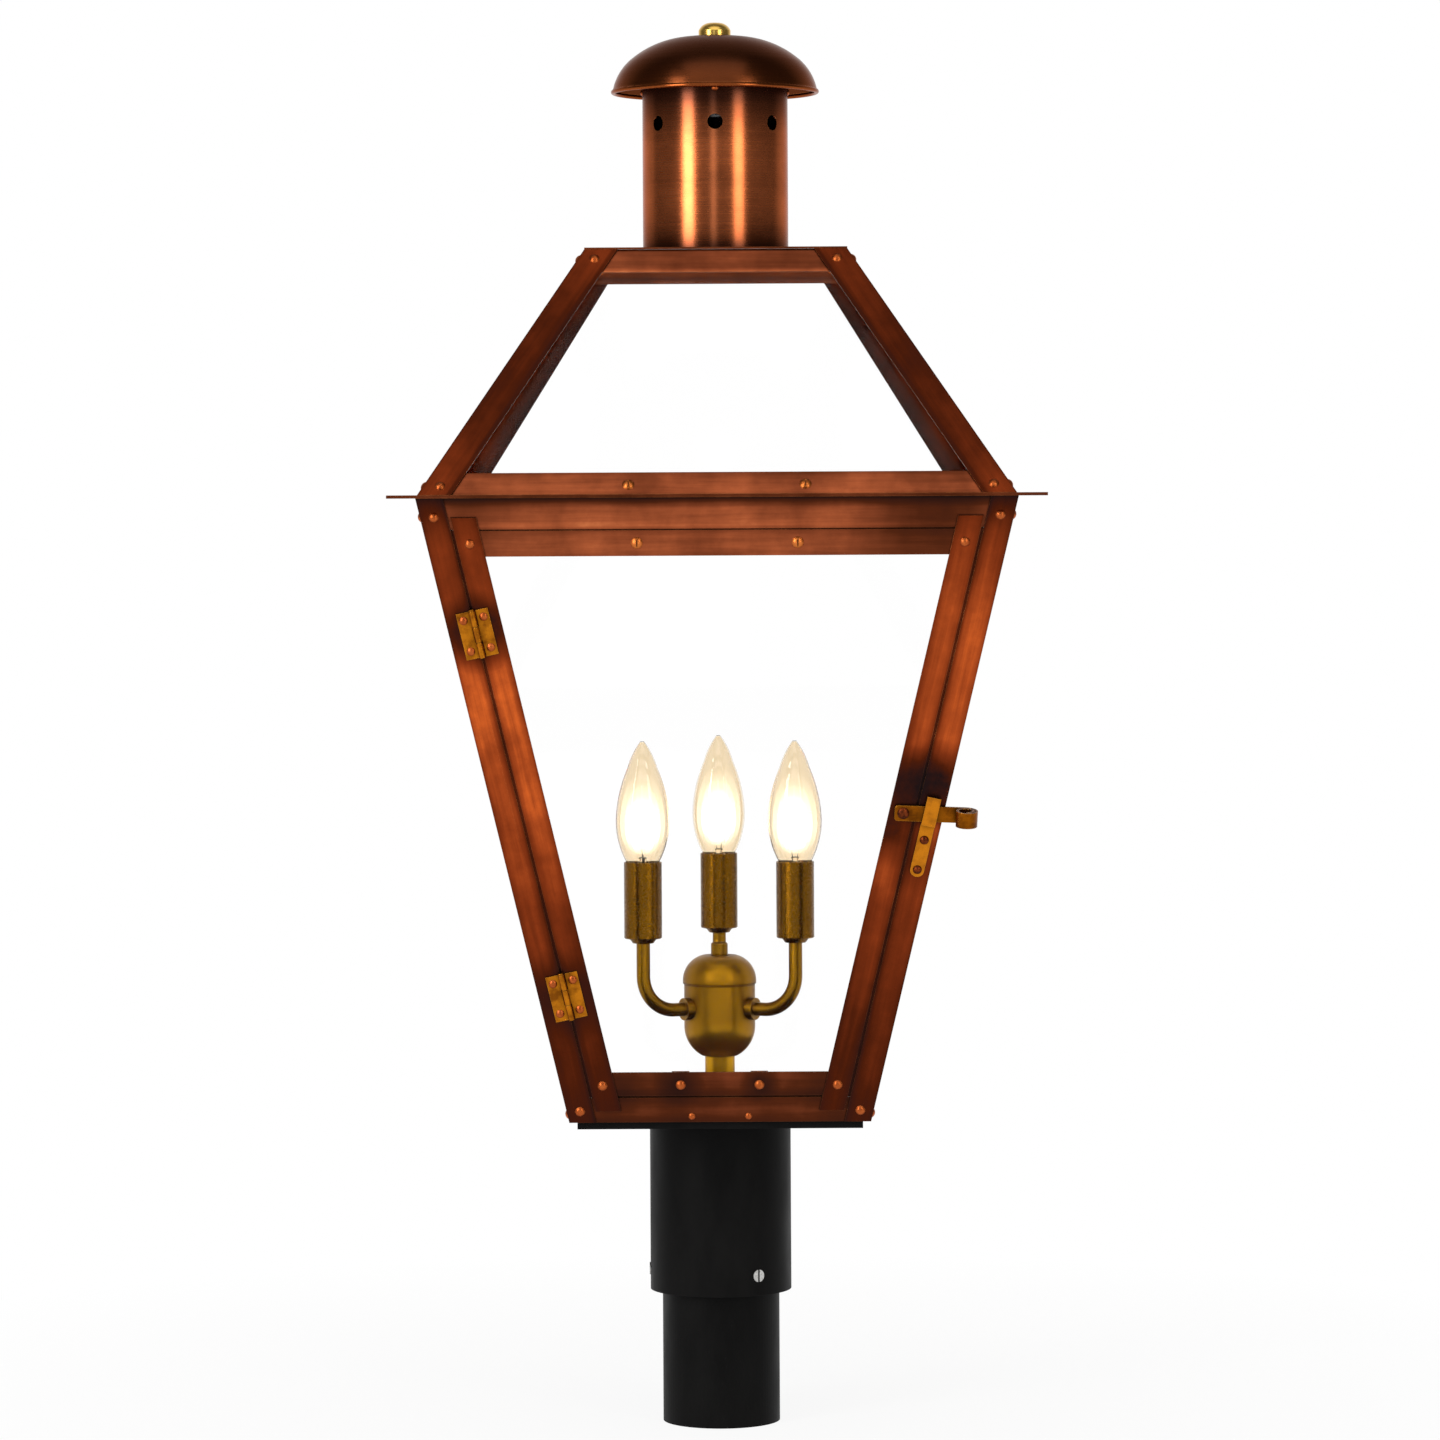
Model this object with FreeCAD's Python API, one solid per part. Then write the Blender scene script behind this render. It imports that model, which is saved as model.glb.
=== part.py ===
"""Post top lantern: a copper cage on a post fitter, with a hinged door and a chimney roof.

Millimetres, +Z up, front towards -Y. The origin is on the axis, at the post seat: the underside
of the base plate, where the top of the post stops.
"""
import FreeCAD
import Part
import math
import os
from FreeCAD import Placement, Rotation, Vector

# ---- post fitter
SLEEVE_R = 46.0
SLEEVE_BORE_R = 38.9
SLEEVE_LENGTH = 114.3
SET_SCREW_R = 4.0
SET_SCREW_COUNT = 3
SET_SCREW_ANGLE = 31.7          # first screw, degrees right of the front
SET_SCREW_FROM_MOUTH = 13.0
SET_SCREW_STAND_OUT = 0.6
SET_SCREW_SLOT = 1.2
SET_SCREW_SLOT_DEPTH = 1.4
SET_SCREW_BACK_OFF = 0.3        # from the bore to the screw's tip
PLATE_SET_BACK = 5.0            # plate edge inside the cage's foot
PLATE_THICK = 4.76
BASE_SCREW_AT = 60.0
BASE_SCREW_R = 2.4
BASE_SCREW_HEAD_R = 4.6
BASE_SCREW_HEAD = 2.4
BASE_SCREW_FOOT = 1.0           # the screws stop this far above the post seat
BASE_SCREW_HOLE_FLOOR = 0.8

# ---- body cage
BODY_BOTTOM_HALF = 96.0
BODY_TOP_HALF = 187.0
BODY_HEIGHT = 397.74
FRAME_SHEET = 1.2
POST_LEG = 16.6
HEADER_DROP = 19.8              # height of the header's face
FRONT_SILL_RISE = 15.8
SIDE_SILL_RISE = 9.5
TRAY_RIM_RISE = 5.7
TRAY_RIM_CORNER = 4.0           # the tray's rims stop this far beside the corner posts
HEADER_FLANGE = 14.0
MITRE_GAP = 0.3
GLASS_THICK = 2.4
GLASS_SIDE_INSET = 6.0          # from the corner line to a pane's edge
HEADER_GLASS_LAP = 6.0

# ---- roof
EAVE_OVERHANG = 17.0            # beyond the top of the cage
EAVE_THICK = 2.0
EAVE_LEDGE = 22.0               # inside the top of the cage
ROOF_SET_BACK = 1.0             # roof foot inside the top of the cage
ROOF_TOP_HALF = 84.0
ROOF_PITCH = 1.53431373         # rise for each millimetre of run
HIP_LEG = 18.5
ROOF_RAIL_CLEAR = 14.0          # face of the roof's rails above their flange and clips
ROOF_RAIL_SHEETS = 2.5          # sheet thicknesses that flange and clips take up
ROOF_FLANGE = 12.0
ROOF_GLASS_LAP = 4.0

# ---- chimney
CHIMNEY_R = 47.5
CHIMNEY_WALL = 1.2
CHIMNEY_HEIGHT = 109.8
CHIMNEY_SEAT = 3.5              # the roof hole is this much smaller than the chimney
VENT_R = 5.0
VENT_COUNT = 7                  # odd, so that no two vents face each other
VENT_BELOW_TOP = 27.0
BRIDGE_WIDTH = 12.0
BRIDGE_THICK = 1.6
BRIDGE_BELOW_TOP = 17.0
BRIDGE_RIVET_BELOW_TOP = 5.0
CAP_RIM_R = 67.0
CAP_RISE = 35.8                 # rim to crown
CAP_RIM_BELOW_CHIMNEY_TOP = 4.6
CAP_SHEET = 1.0
CAP_BEAD_R = 1.5
CAP_FLAT_R = 11.0
CAP_BOLT_R = 3.0
CAP_BOLT_HEAD_R = 6.0
CAP_BOLT_HEAD = 4.0
CAP_SPACER_R = 5.0
CAP_NUT_R = 10.5
CAP_NUT_HEIGHT = 9.2

# ---- lamp cluster
STEM_R = 9.7
STEM_BORE_R = 8.0
STEM_FOOT_GAP = 0.6             # the stem stops this far above the post seat
LOCKNUT_R = 17.0
LOCKNUT_HEIGHT = 6.0
CUP_R = 23.2
CUP_BOTTOM_Z = 37.6
CUP_SHOULDER_Z = 57.2
CUP_TOP_Z = 84.7
CUP_WALL = 1.4
CUP_CAP_R = 24.0
CUP_CAP_RISE = 18.3
CUP_CAP_FLAT_R = 11.5
FINIAL_R = 5.5
FINIAL_HEIGHT = 8.3
ARM_COUNT = 3
ARM_REACH = 57.0
ARM_R = 4.4
ARM_BORE_R = 3.2
ARM_BEND_R = 23.0
ARM_Z = 69.0
ARM_COLLAR_R = 7.2
ARM_COLLAR_LENGTH = 4.0
ARM_FIRST_ANGLE = 90.0          # the first arm points to the back
ARM_IN_HOLDER = 2.5             # the arm's end stands this far into its socket
STEM_IN_CUP = 7.0
SOCKET_BOTTOM_Z = 116.5
SOCKET_HEIGHT = 49.5
SOCKET_R = 12.25
SOCKET_WALL = 0.8
SOCKET_NECK = 3.0
SOCKET_FLOOR = 2.3
HOLDER_FLOOR = 3.5
HOLDER_GAP = 0.2
LAMP_HOLDER_HEIGHT = 24.0
BULB_CAP_R = 6.0
BULB_CAP_HEIGHT = 19.0
BULB_CONTACT = 0.5
BULB_COLLAR = 1.5
BULB_CAP_GAP = 0.1
BULB_R = 17.5
BULB_TIP_R = 1.2
BULB_WALL = 0.8
BULB_GLASS_HEIGHT = 101.0
BULB_NECK_R = 10.5
BULB_WIDEST = 49.0              # height of the widest place above the glass's foot

# ---- door
DOOR_GAP = 1.7
DOOR_SHEET = 0.9
STILE_WIDTH = 15.6
STILE_BELOW_BODY_TOP = 12.2
STILE_ABOVE_FLOOR = 7.24
DOOR_BELOW_HEADER = 0.7
DOOR_TOP_RAIL = 16.5
DOOR_ABOVE_SILL = 1.24
DOOR_BOTTOM_RAIL = 15.6
DOOR_GLASS_LAP = 3.5
DOOR_RAIL_END_GAP = 1.0
DOOR_GLASS_SIDE_LAP = 9.0
DOOR_CLIP_SHORT = 3.0           # from the end of a clip's leg to the rail's edge
STOP_SEAT = 3.6                 # how far a stop lies on the post or rail that carries it
POST_STOP_LAP = 0.5             # how far a post's stop reaches behind the stile
RAIL_STOP_REACH = 2.5           # how far a rail's stop reaches past its rail
STOP_END_GAP = 0.3

# ---- butt hinges
UPPER_HINGE_BELOW_TOP = 84.4
LOWER_HINGE_ABOVE_FLOOR = 82.24
HINGE_HEIGHT = 30.4
HINGE_HALF_WIDTH = 10.2
HINGE_LEAF = 0.9
KNUCKLE_R = 1.9
PIN_R = 0.95
KNUCKLE_GAP = 0.3
KNUCKLE_LIFT = 0.15             # the knuckles clear the post and the stile by this much
HINGE_RIVET_OUT = 6.4
HINGE_RIVET_UP = 10.1

# ---- latch
LATCH_ABOVE_FLOOR = 199.24
LATCH_STRIP = 10.0
LATCH_THICK = 1.5
LATCH_STAND_OFF = 1.0
LATCH_REACH = 31.6              # pivot to the start of the scroll
LATCH_TAIL = 5.4
LATCH_PIVOT_OUT = 1.0           # from the stile's middle towards the post
ARM_DROOP = 2.5                 # degrees that the closed arm hangs below level
SCROLL_R = 7.4
KEEPER_WIDTH = 8.8
KEEPER_THICK = 1.4
KEEPER_GAP = 0.5                # between the arm and the hook
KEEPER_TONGUE = 5.5             # how far the hook rises above the arm's middle
KEEPER_LENGTH = 36.0
KEEPER_HOLES = (11.4, 31.2)     # below the hook's seat
KEEPER_LIFT = 0.3

# ---- fasteners
RIVET_HEAD_R = 3.2
RIVET_HEAD = 1.7
RIVET_R = 1.6
SMALL_RIVET_HEAD_R = 2.3
SMALL_RIVET_HEAD = 1.3
SMALL_RIVET_R = 1.1
TAIL_HEAD = 0.8
HINGE_RIVET_HEAD_R = 2.7
SCREW_HEAD_R = 3.8
SCREW_HEAD = 1.9
SCREW_SLOT = 0.9
SCREW_SLOT_DEPTH = 1.0
SCREW_TAIL = 2.0
TAIL_WIDER = 1.5                # a closed end's radius over its shank's
SCREW_TAIL_WIDER = 1.7
HOLE_CLEARANCE = 0.05
CLIP_WIDTH = 11.0
CLIP_SHEET = 1.0
CLIP_LAP = 3.0
CLIP_GLASS_GAP = 0.1
CLIP_EDGE_GAP = 0.4
CLIP_LEG = 8.5
RIM_CLIP_GAP = 0.5              # under the leg of a clip on the tray's rim
RAIL_SCREW_AT = 55.0            # the slotted screws, either side of the middle
DOOR_SCREW_AT = 50.0
DOOR_RIVET_AT = 25.0
SILL_RIVET_AT = 18.0

# ---- worked out from the sizes above
PLATE_HALF = BODY_BOTTOM_HALF - PLATE_SET_BACK
FLOOR_Z = PLATE_THICK
BODY_TOP_Z = FLOOR_Z + BODY_HEIGHT
EAVE_TOP_Z = BODY_TOP_Z + EAVE_THICK
EAVE_HALF = BODY_TOP_HALF + EAVE_OVERHANG
EAVE_OPENING_HALF = BODY_TOP_HALF - EAVE_LEDGE
ROOF_BOTTOM_HALF = BODY_TOP_HALF - ROOF_SET_BACK
ROOF_TOP_Z = EAVE_TOP_Z + ROOF_PITCH * (ROOF_BOTTOM_HALF - ROOF_TOP_HALF)
ROOF_RAIL = ROOF_RAIL_CLEAR + ROOF_RAIL_SHEETS * FRAME_SHEET
CHIMNEY_BASE_Z = ROOF_TOP_Z + FRAME_SHEET
CHIMNEY_TOP_Z = CHIMNEY_BASE_Z + CHIMNEY_HEIGHT
VENT_Z = CHIMNEY_TOP_Z - VENT_BELOW_TOP
HINGE_Z = (BODY_TOP_Z - UPPER_HINGE_BELOW_TOP, FLOOR_Z + LOWER_HINGE_ABOVE_FLOOR)
LATCH_Z = FLOOR_Z + LATCH_ABOVE_FLOOR
STILE_BOTTOM_Z = FLOOR_Z + STILE_ABOVE_FLOOR
STILE_TOP_Z = BODY_TOP_Z - STILE_BELOW_BODY_TOP
DOOR_BOTTOM_Z = FLOOR_Z + FRONT_SILL_RISE + DOOR_ABOVE_SILL
DOOR_TOP_Z = BODY_TOP_Z - HEADER_DROP - DOOR_BELOW_HEADER
HOLE_R = RIVET_R + HOLE_CLEARANCE
CAP_RIM_Z = CHIMNEY_TOP_Z - CAP_RIM_BELOW_CHIMNEY_TOP
CAP_CROWN_Z = CAP_RIM_Z + CAP_RISE
BRIDGE_Z = CHIMNEY_TOP_Z - BRIDGE_BELOW_TOP
BOLT_HOLE_R = CAP_BOLT_R + HOLE_CLEARANCE
Z_AXIS = Vector(0, 0, 1)
CORNERS = ("front_right", "back_right", "back_left", "front_left")
SIDES = ("front", "right", "back", "left")
FAR = 900.0


class SlopedFace:
    """One of four equal leaning faces round the axis, with its own flat frame.

    In that frame x runs along the face, y runs up the slope and z stands out of it.
    """

    def __init__(self, half_bottom, half_top, bottom_z, top_z):
        self.half = half_bottom
        self.bottom_z = bottom_z
        self.lean = math.atan2(half_top - half_bottom, top_z - bottom_z)
        self.flare = math.sin(self.lean)
        self.rise = math.cos(self.lean)
        self.edge_turn = math.degrees(math.atan(self.flare))
        self.across = 1.0 / math.cos(math.atan(self.flare))

    def up(self, z, depth=0.0):
        """Distance up the slope of the height z, at a depth below the outer surface."""
        return (z - self.bottom_z - depth * self.flare) / self.rise

    def edge(self, up, inset=0.0, depth=0.0):
        """Half width at a place up the slope, for a line this far in from the corner line."""
        return self.half + up * self.flare - depth * self.rise - inset * self.across

    def place(self, shape, side):
        """Stand a flat-frame shape on one side of the lantern."""
        stand = Placement(Vector(0, -self.half, self.bottom_z),
                          Rotation(Vector(1, 0, 0), 90.0 + math.degrees(self.lean)))
        turn = Placement(Vector(0, 0, 0), Rotation(Z_AXIS, 90.0 * side))
        placed = shape.copy()
        placed.Placement = turn.multiply(stand).multiply(shape.Placement)
        return placed


BODY = SlopedFace(BODY_BOTTOM_HALF, BODY_TOP_HALF, FLOOR_Z, BODY_TOP_Z)
ROOF = SlopedFace(ROOF_BOTTOM_HALF, ROOF_TOP_HALF, EAVE_TOP_Z, ROOF_TOP_Z)


# ---- plain shapes
def prism(points, height, low=0.0):
    """An upright solid on an outline."""
    corners = [Vector(x, y, low) for x, y in points]
    outline = Part.Face(Part.makePolygon(corners + corners[:1]))
    return outline.extrude(Vector(0, 0, height))


def box(low, high):
    size = [b - a for a, b in zip(low, high)]
    return Part.makeBox(size[0], size[1], size[2], Vector(*low))


def slab(low, high):
    """Everything between two heights."""
    return box((-FAR, -FAR, low), (FAR, FAR, high))


def rod(radius, low, high):
    return Part.makeCylinder(radius, high - low, Vector(0, 0, low))


def ring(outer, inner, low, high):
    return rod(outer, low, high).cut(rod(inner, low - 1, high + 1))


def turned(path):
    """Turn a profile about the Z axis. A step of three values is an arc: through, then end."""
    edges = []
    here = path[0]
    for step in path[1:] + [path[0]]:
        start = Vector(here[0], 0, here[1])
        if len(step) == 4:
            through = Vector(step[0], 0, step[1])
            end = Vector(step[2], 0, step[3])
            edges.append(Part.Arc(start, through, end).toShape())
            here = (step[2], step[3])
        else:
            end = Vector(step[0], 0, step[1])
            edges.append(Part.makeLine(start, end))
            here = step
    profile = Part.Face(Part.Wire(edges))
    return profile.revolve(Vector(0, 0, 0), Z_AXIS, 360)


def fused(shapes):
    """One solid from touching shapes, with seams between flush faces removed."""
    return shapes[0].fuse(shapes[1:]).removeSplitter()


def moved(shape, x, y, z=0.0, angle=0.0):
    placed = shape.copy()
    step = Placement(Vector(x, y, z), Rotation(Z_AXIS, angle))
    placed.Placement = step.multiply(shape.Placement)
    return placed


def polar(shape, angle):
    return moved(shape, 0, 0, 0, angle)


def export(name, shape):
    solids = shape if isinstance(shape, list) else [shape]
    whole = Part.makeCompound(solids) if len(solids) > 1 else solids[0]
    if len(whole.Solids) == 1:
        whole = whole.Solids[0]
    whole.exportStep("parts/" + name + ".step")


# ---- fasteners, head outside at z = 0 and shank inwards
def dome(radius, height):
    """A round head: a flat foot and a spherical crown."""
    ball_r = (radius * radius + height * height) / (2.0 * height)
    half_span = math.asin(min(1.0, radius / ball_r)) / 2.0
    through = (ball_r * math.sin(half_span), height - ball_r + ball_r * math.cos(half_span))
    return turned([(0, 0), (radius, 0), through + (0, height)])


def rivet(head_r, head, shank_r, grip, tail=TAIL_HEAD):
    """A domed head, a shank through the joined sheets and a small closed end."""
    pieces = [dome(head_r, head), rod(shank_r, -grip - tail, 0)]
    if tail:
        pieces.append(rod(shank_r * TAIL_WIDER, -grip - tail, -grip))
    return fused(pieces)


def screw(grip):
    """A slotted round head screw with a nut-like closed end."""
    slot = box((-SCREW_SLOT / 2, -SCREW_HEAD_R, SCREW_HEAD - SCREW_SLOT_DEPTH),
               (SCREW_SLOT / 2, SCREW_HEAD_R, SCREW_HEAD + 1))
    head = dome(SCREW_HEAD_R, SCREW_HEAD).cut(slot)
    end = -grip - SCREW_TAIL
    return fused([head, rod(RIVET_R, end, 0), rod(RIVET_R * SCREW_TAIL_WIDER, end, -grip)])


def drilled(sheets, fasteners, hole_r):
    """Drill a sheet for a list of (placement function, x, y) fasteners."""
    drills = []
    for put, x, y in fasteners:
        drills.append(put(moved(rod(hole_r, -12.0, 6.0), x, y)))
    return sheets.cut(Part.makeCompound(drills))


# ---- strips and rails on a sloped face
def edge_strip(face, sign, low, high, width, thick, start=0.0, top=0.0):
    """A strip along one corner line of a face: start is how far in from the corner line."""
    outer = (face.edge(low, start), face.edge(high, start))
    inner = (face.edge(low, start + width), face.edge(high, start + width))
    points = [(sign * outer[0], low), (sign * outer[1], high),
              (sign * inner[1], high), (sign * inner[0], low)]
    return prism(points, thick, top - thick)


def cross_strip(face, low, high, top, thick, inset=0.0):
    """A level strip from corner to corner, mitred to clear the strips of the next faces."""
    depth = thick - top
    edge_low = face.edge(low, inset, depth) - MITRE_GAP
    edge_high = face.edge(high, inset, depth) - MITRE_GAP
    points = [(-edge_low, low), (edge_low, low), (edge_high, high), (-edge_high, high)]
    return prism(points, thick, top - thick)


def level_flange(half, width, low, thick):
    """A level flange along the front, mitred at both ends."""
    outer = half - MITRE_GAP
    inner = half - width - MITRE_GAP
    points = [(-outer, -half), (outer, -half), (inner, -half + width), (-inner, -half + width)]
    return prism(points, thick, low)


def corner_angle(face, corner, leg, low_z, high_z):
    """A folded angle down one corner line, with a leg on each of its two faces."""
    low = face.up(low_z) - 8.0
    high = face.up(high_z) + 8.0
    right = face.place(edge_strip(face, 1, low, high, leg, FRAME_SHEET), corner)
    left = face.place(edge_strip(face, -1, low, high, leg, FRAME_SHEET), corner + 1)
    return right.fuse(left).common(slab(low_z, high_z))


def pane(face, low, high, top, side_inset):
    """A pane behind the frame of one face."""
    depth = GLASS_THICK - top
    edge_low = face.edge(low, side_inset, depth)
    edge_high = face.edge(high, side_inset, depth)
    points = [(-edge_low, low), (edge_low, low), (edge_high, high), (-edge_high, high)]
    return prism(points, GLASS_THICK, top - GLASS_THICK)


def glass_clip(edge, towards, seat, glass_back, leg=CLIP_LEG):
    """A bent tab: a leg on the rail, a step past the pane's edge and a lap over the pane.

    edge is the pane's edge up the slope, towards is +1 where the pane lies above it.
    """
    foot = edge - towards * (CLIP_EDGE_GAP + leg)
    step = edge - towards * (CLIP_EDGE_GAP + CLIP_SHEET)
    clear = edge - towards * CLIP_EDGE_GAP
    tip = edge + towards * CLIP_LAP
    tab = glass_back - CLIP_GLASS_GAP
    half = CLIP_WIDTH / 2.0

    def bar(a, b, low, high):
        return box((-half, min(a, b), low), (half, max(a, b), high))

    return fused([bar(foot, clear, seat - CLIP_SHEET, seat),
                  bar(step, clear, tab - CLIP_SHEET, seat),
                  bar(step, tip, tab - CLIP_SHEET, tab)])


# ---- places of the frame's fasteners, as (face, side, x, y)
LAYER_2 = -FRAME_SHEET
LAYER_3 = -2.0 * FRAME_SHEET
LAYER_4 = -3.0 * FRAME_SHEET
HEADER_RIVET_Z = BODY_TOP_Z - 0.6 * HEADER_DROP
SILL_RIVET_Z = (FLOOR_Z + 0.46 * FRONT_SILL_RISE, FLOOR_Z + 0.48 * SIDE_SILL_RISE)
ROOF_TOP_RIVET_UP = ROOF.up(ROOF_TOP_Z) - 0.42 * ROOF_RAIL
ROOF_LOW_RIVET_UP = 0.4 * ROOF_RAIL
HEADER_GLASS_TOP = BODY.up(BODY_TOP_Z - HEADER_DROP) + HEADER_GLASS_LAP
SIDE_GLASS_BOTTOM = BODY.up(FLOOR_Z + TRAY_RIM_RISE + 0.8)
HEADER_SCREW_UP = HEADER_GLASS_TOP + CLIP_EDGE_GAP + 0.5 * CLIP_LEG
ROOF_GLASS_BOTTOM = ROOF_RAIL - ROOF_GLASS_LAP
ROOF_GLASS_TOP = ROOF.up(ROOF_TOP_Z) - ROOF_RAIL + ROOF_GLASS_LAP
ROOF_SCREW_UP = ROOF_GLASS_BOTTOM - CLIP_EDGE_GAP - 0.55 * CLIP_LEG


def putter(face, side):
    return lambda shape: face.place(shape, side)


def leg_places():
    """Rivets through a corner leg and the rail behind it: (face, side, x, y)."""
    places = []
    for side in range(4):
        sill_z = SILL_RIVET_Z[0] if side == 0 else SILL_RIVET_Z[1]
        for sign in (-1, 1):
            for z in (HEADER_RIVET_Z, sill_z):
                up = BODY.up(z)
                places.append((BODY, side, sign * BODY.edge(up, POST_LEG * 0.5), up))
            for up in (ROOF_LOW_RIVET_UP, ROOF_TOP_RIVET_UP):
                places.append((ROOF, side, sign * ROOF.edge(up, HIP_LEG * 0.5), up))
    return places


def leg_drills():
    return [(putter(face, side), x, y) for face, side, x, y in leg_places()]


def clip_screw_places():
    """Slotted screws that hold the clips on headers and lower roof rails."""
    places = []
    for side in range(4):
        for sign in (-1, 1):
            if side:
                places.append((BODY, side, sign * RAIL_SCREW_AT, HEADER_SCREW_UP))
            places.append((ROOF, side, sign * RAIL_SCREW_AT, ROOF_SCREW_UP))
    return places


def clip_drills():
    return [(putter(face, side), x, y) for face, side, x, y in clip_screw_places()]


def sill_rivet_places():
    """Small rivets through sill, tray rim and, on the fixed sides, the pane's lower clip."""
    places = []
    for side in range(4):
        up = BODY.up(FLOOR_Z + 0.5 * (TRAY_RIM_RISE + FRAME_SHEET))
        for sign in (-1, 1):
            places.append((BODY, side, sign * SILL_RIVET_AT, up))
    return places


def sill_drills():
    return [(putter(face, side), x, y) for face, side, x, y in sill_rivet_places()]


# ---- post fitter
def set_screw_angles():
    step = 360.0 / SET_SCREW_COUNT
    return [SET_SCREW_ANGLE - 90.0 + step * i for i in range(SET_SCREW_COUNT)]


def along_x(shape, angle, z):
    """Lay an upright shape along X at a height, then turn it about the axis."""
    placed = shape.copy()
    lay = Placement(Vector(0, 0, z), Rotation(Vector(0, 1, 0), 90))
    turn = Placement(Vector(0, 0, 0), Rotation(Z_AXIS, angle))
    placed.Placement = turn.multiply(lay).multiply(shape.Placement)
    return placed


SET_SCREW_Z = SET_SCREW_FROM_MOUTH - SLEEVE_LENGTH


def make_sleeve():
    tube = ring(SLEEVE_R, SLEEVE_BORE_R, -SLEEVE_LENGTH, 0.0)
    drill = rod(SET_SCREW_R + HOLE_CLEARANCE, SLEEVE_BORE_R - 5, SLEEVE_R + 5)
    for angle in set_screw_angles():
        tube = tube.cut(along_x(drill, angle, SET_SCREW_Z))
    return tube


def make_set_screws():
    """Screws backed off just clear of the bore."""
    tip = SLEEVE_R + SET_SCREW_STAND_OUT
    body = rod(SET_SCREW_R, SLEEVE_BORE_R + SET_SCREW_BACK_OFF, tip)
    slot = box((-SET_SCREW_R, -SET_SCREW_SLOT / 2, tip - SET_SCREW_SLOT_DEPTH),
               (SET_SCREW_R, SET_SCREW_SLOT / 2, tip + 1))
    return [along_x(body.cut(slot), angle, SET_SCREW_Z) for angle in set_screw_angles()]


def base_screw_spots():
    return [(x, y) for x in (-BASE_SCREW_AT, BASE_SCREW_AT) for y in (-BASE_SCREW_AT, BASE_SCREW_AT)]


def make_base_plate():
    plate = box((-PLATE_HALF, -PLATE_HALF, 0), (PLATE_HALF, PLATE_HALF, PLATE_THICK))
    plate = plate.cut(rod(STEM_R + HOLE_CLEARANCE, -1, PLATE_THICK + 1))
    for x, y in base_screw_spots():
        hole = rod(BASE_SCREW_R + HOLE_CLEARANCE, BASE_SCREW_HOLE_FLOOR, PLATE_THICK + 1)
        plate = plate.cut(moved(hole, x, y))
    return plate


def make_base_screws():
    top = FLOOR_Z + FRAME_SHEET
    head = moved(dome(BASE_SCREW_HEAD_R, BASE_SCREW_HEAD), 0, 0, top)
    screw_down = fused([rod(BASE_SCREW_R, BASE_SCREW_FOOT, top), head])
    return [moved(screw_down, x, y) for x, y in base_screw_spots()]


def make_tray():
    half = BODY.edge(0, 0, -LAYER_3) + 0.3
    floor = prism([(-half, -half), (half, -half), (half, half), (-half, half)], FRAME_SHEET, FLOOR_Z)
    pieces = [floor]
    rim_top = BODY.up(FLOOR_Z + TRAY_RIM_RISE)
    outer = Part.makeLoft([square(BODY, FLOOR_Z, -LAYER_3), square(BODY, BODY_TOP_Z, -LAYER_3)], True)
    for side in range(4):
        rim = cross_strip(BODY, -2.0, rim_top, LAYER_3, FRAME_SHEET, POST_LEG + TRAY_RIM_CORNER)
        pieces.append(BODY.place(rim, side))
    tray = fused(pieces).common(slab(FLOOR_Z, BODY_TOP_Z)).common(outer)
    tray = tray.cut(rod(STEM_R + HOLE_CLEARANCE, 0, BODY_TOP_Z / 2))
    for x, y in base_screw_spots():
        tray = tray.cut(moved(rod(BASE_SCREW_R + HOLE_CLEARANCE, 0, FLOOR_Z + 3), x, y))
    return drilled(tray, sill_drills(), SMALL_RIVET_R + HOLE_CLEARANCE)


def square(face, z, depth):
    """The square outline of the four faces at a height, this deep below their outer surface."""
    half = face.edge(face.up(z, depth), 0, depth)
    corners = [Vector(-half, -half, z), Vector(half, -half, z), Vector(half, half, z),
               Vector(-half, half, z)]
    return Part.makePolygon(corners + corners[:1])


# ---- body cage
HEADER_LOW = BODY.up(BODY_TOP_Z - HEADER_DROP)
FRONT_SILL_TOP = BODY.up(FLOOR_Z + FRONT_SILL_RISE)


def post_stop(sign):
    """The folded edge of a front post that stands behind the door's stile."""
    width = STOP_SEAT + DOOR_GAP + POST_STOP_LAP
    strip = edge_strip(BODY, sign, FRONT_SILL_TOP + STOP_END_GAP, HEADER_LOW - STOP_END_GAP, width,
                       FRAME_SHEET, POST_LEG - STOP_SEAT, LAYER_2)
    return BODY.place(strip, 0)


def rail_stop(low, high):
    """The folded edge of the front header or sill that stands behind the door's rail."""
    inset = POST_LEG + DOOR_GAP + DOOR_RAIL_END_GAP
    return BODY.place(cross_strip(BODY, low, high, LAYER_3, FRAME_SHEET, inset), 0)


def make_post(corner):
    post = corner_angle(BODY, corner, POST_LEG, FLOOR_Z, BODY_TOP_Z)
    if corner in (0, 3):
        post = fused([post, post_stop(1 if corner == 0 else -1)])
    post = drilled(post, leg_drills(), HOLE_R)
    if corner == 3:
        post = drilled(post, hinge_drills(-1), SMALL_RIVET_R + HOLE_CLEARANCE)
    if corner == 0:
        post = drilled(post, keeper_drills(), HOLE_R)
    return post


def make_header(side):
    face_strip = BODY.place(cross_strip(BODY, HEADER_LOW, BODY.up(BODY_TOP_Z) + 4, LAYER_2, FRAME_SHEET), 0)
    half = BODY.edge(BODY.up(BODY_TOP_Z), 0, 1.5 * FRAME_SHEET)
    flange = level_flange(half, HEADER_FLANGE, BODY_TOP_Z - FRAME_SHEET, FRAME_SHEET)
    pieces = [face_strip, flange]
    if side == 0:
        pieces.append(rail_stop(HEADER_LOW - RAIL_STOP_REACH, HEADER_LOW + STOP_SEAT))
    rail = pieces[0].fuse(pieces[1:]).common(slab(0, BODY_TOP_Z)).removeSplitter()
    rail = polar(rail, 90.0 * side)
    rail = drilled(rail, leg_drills(), HOLE_R)
    return drilled(rail, clip_drills(), HOLE_R)


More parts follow.
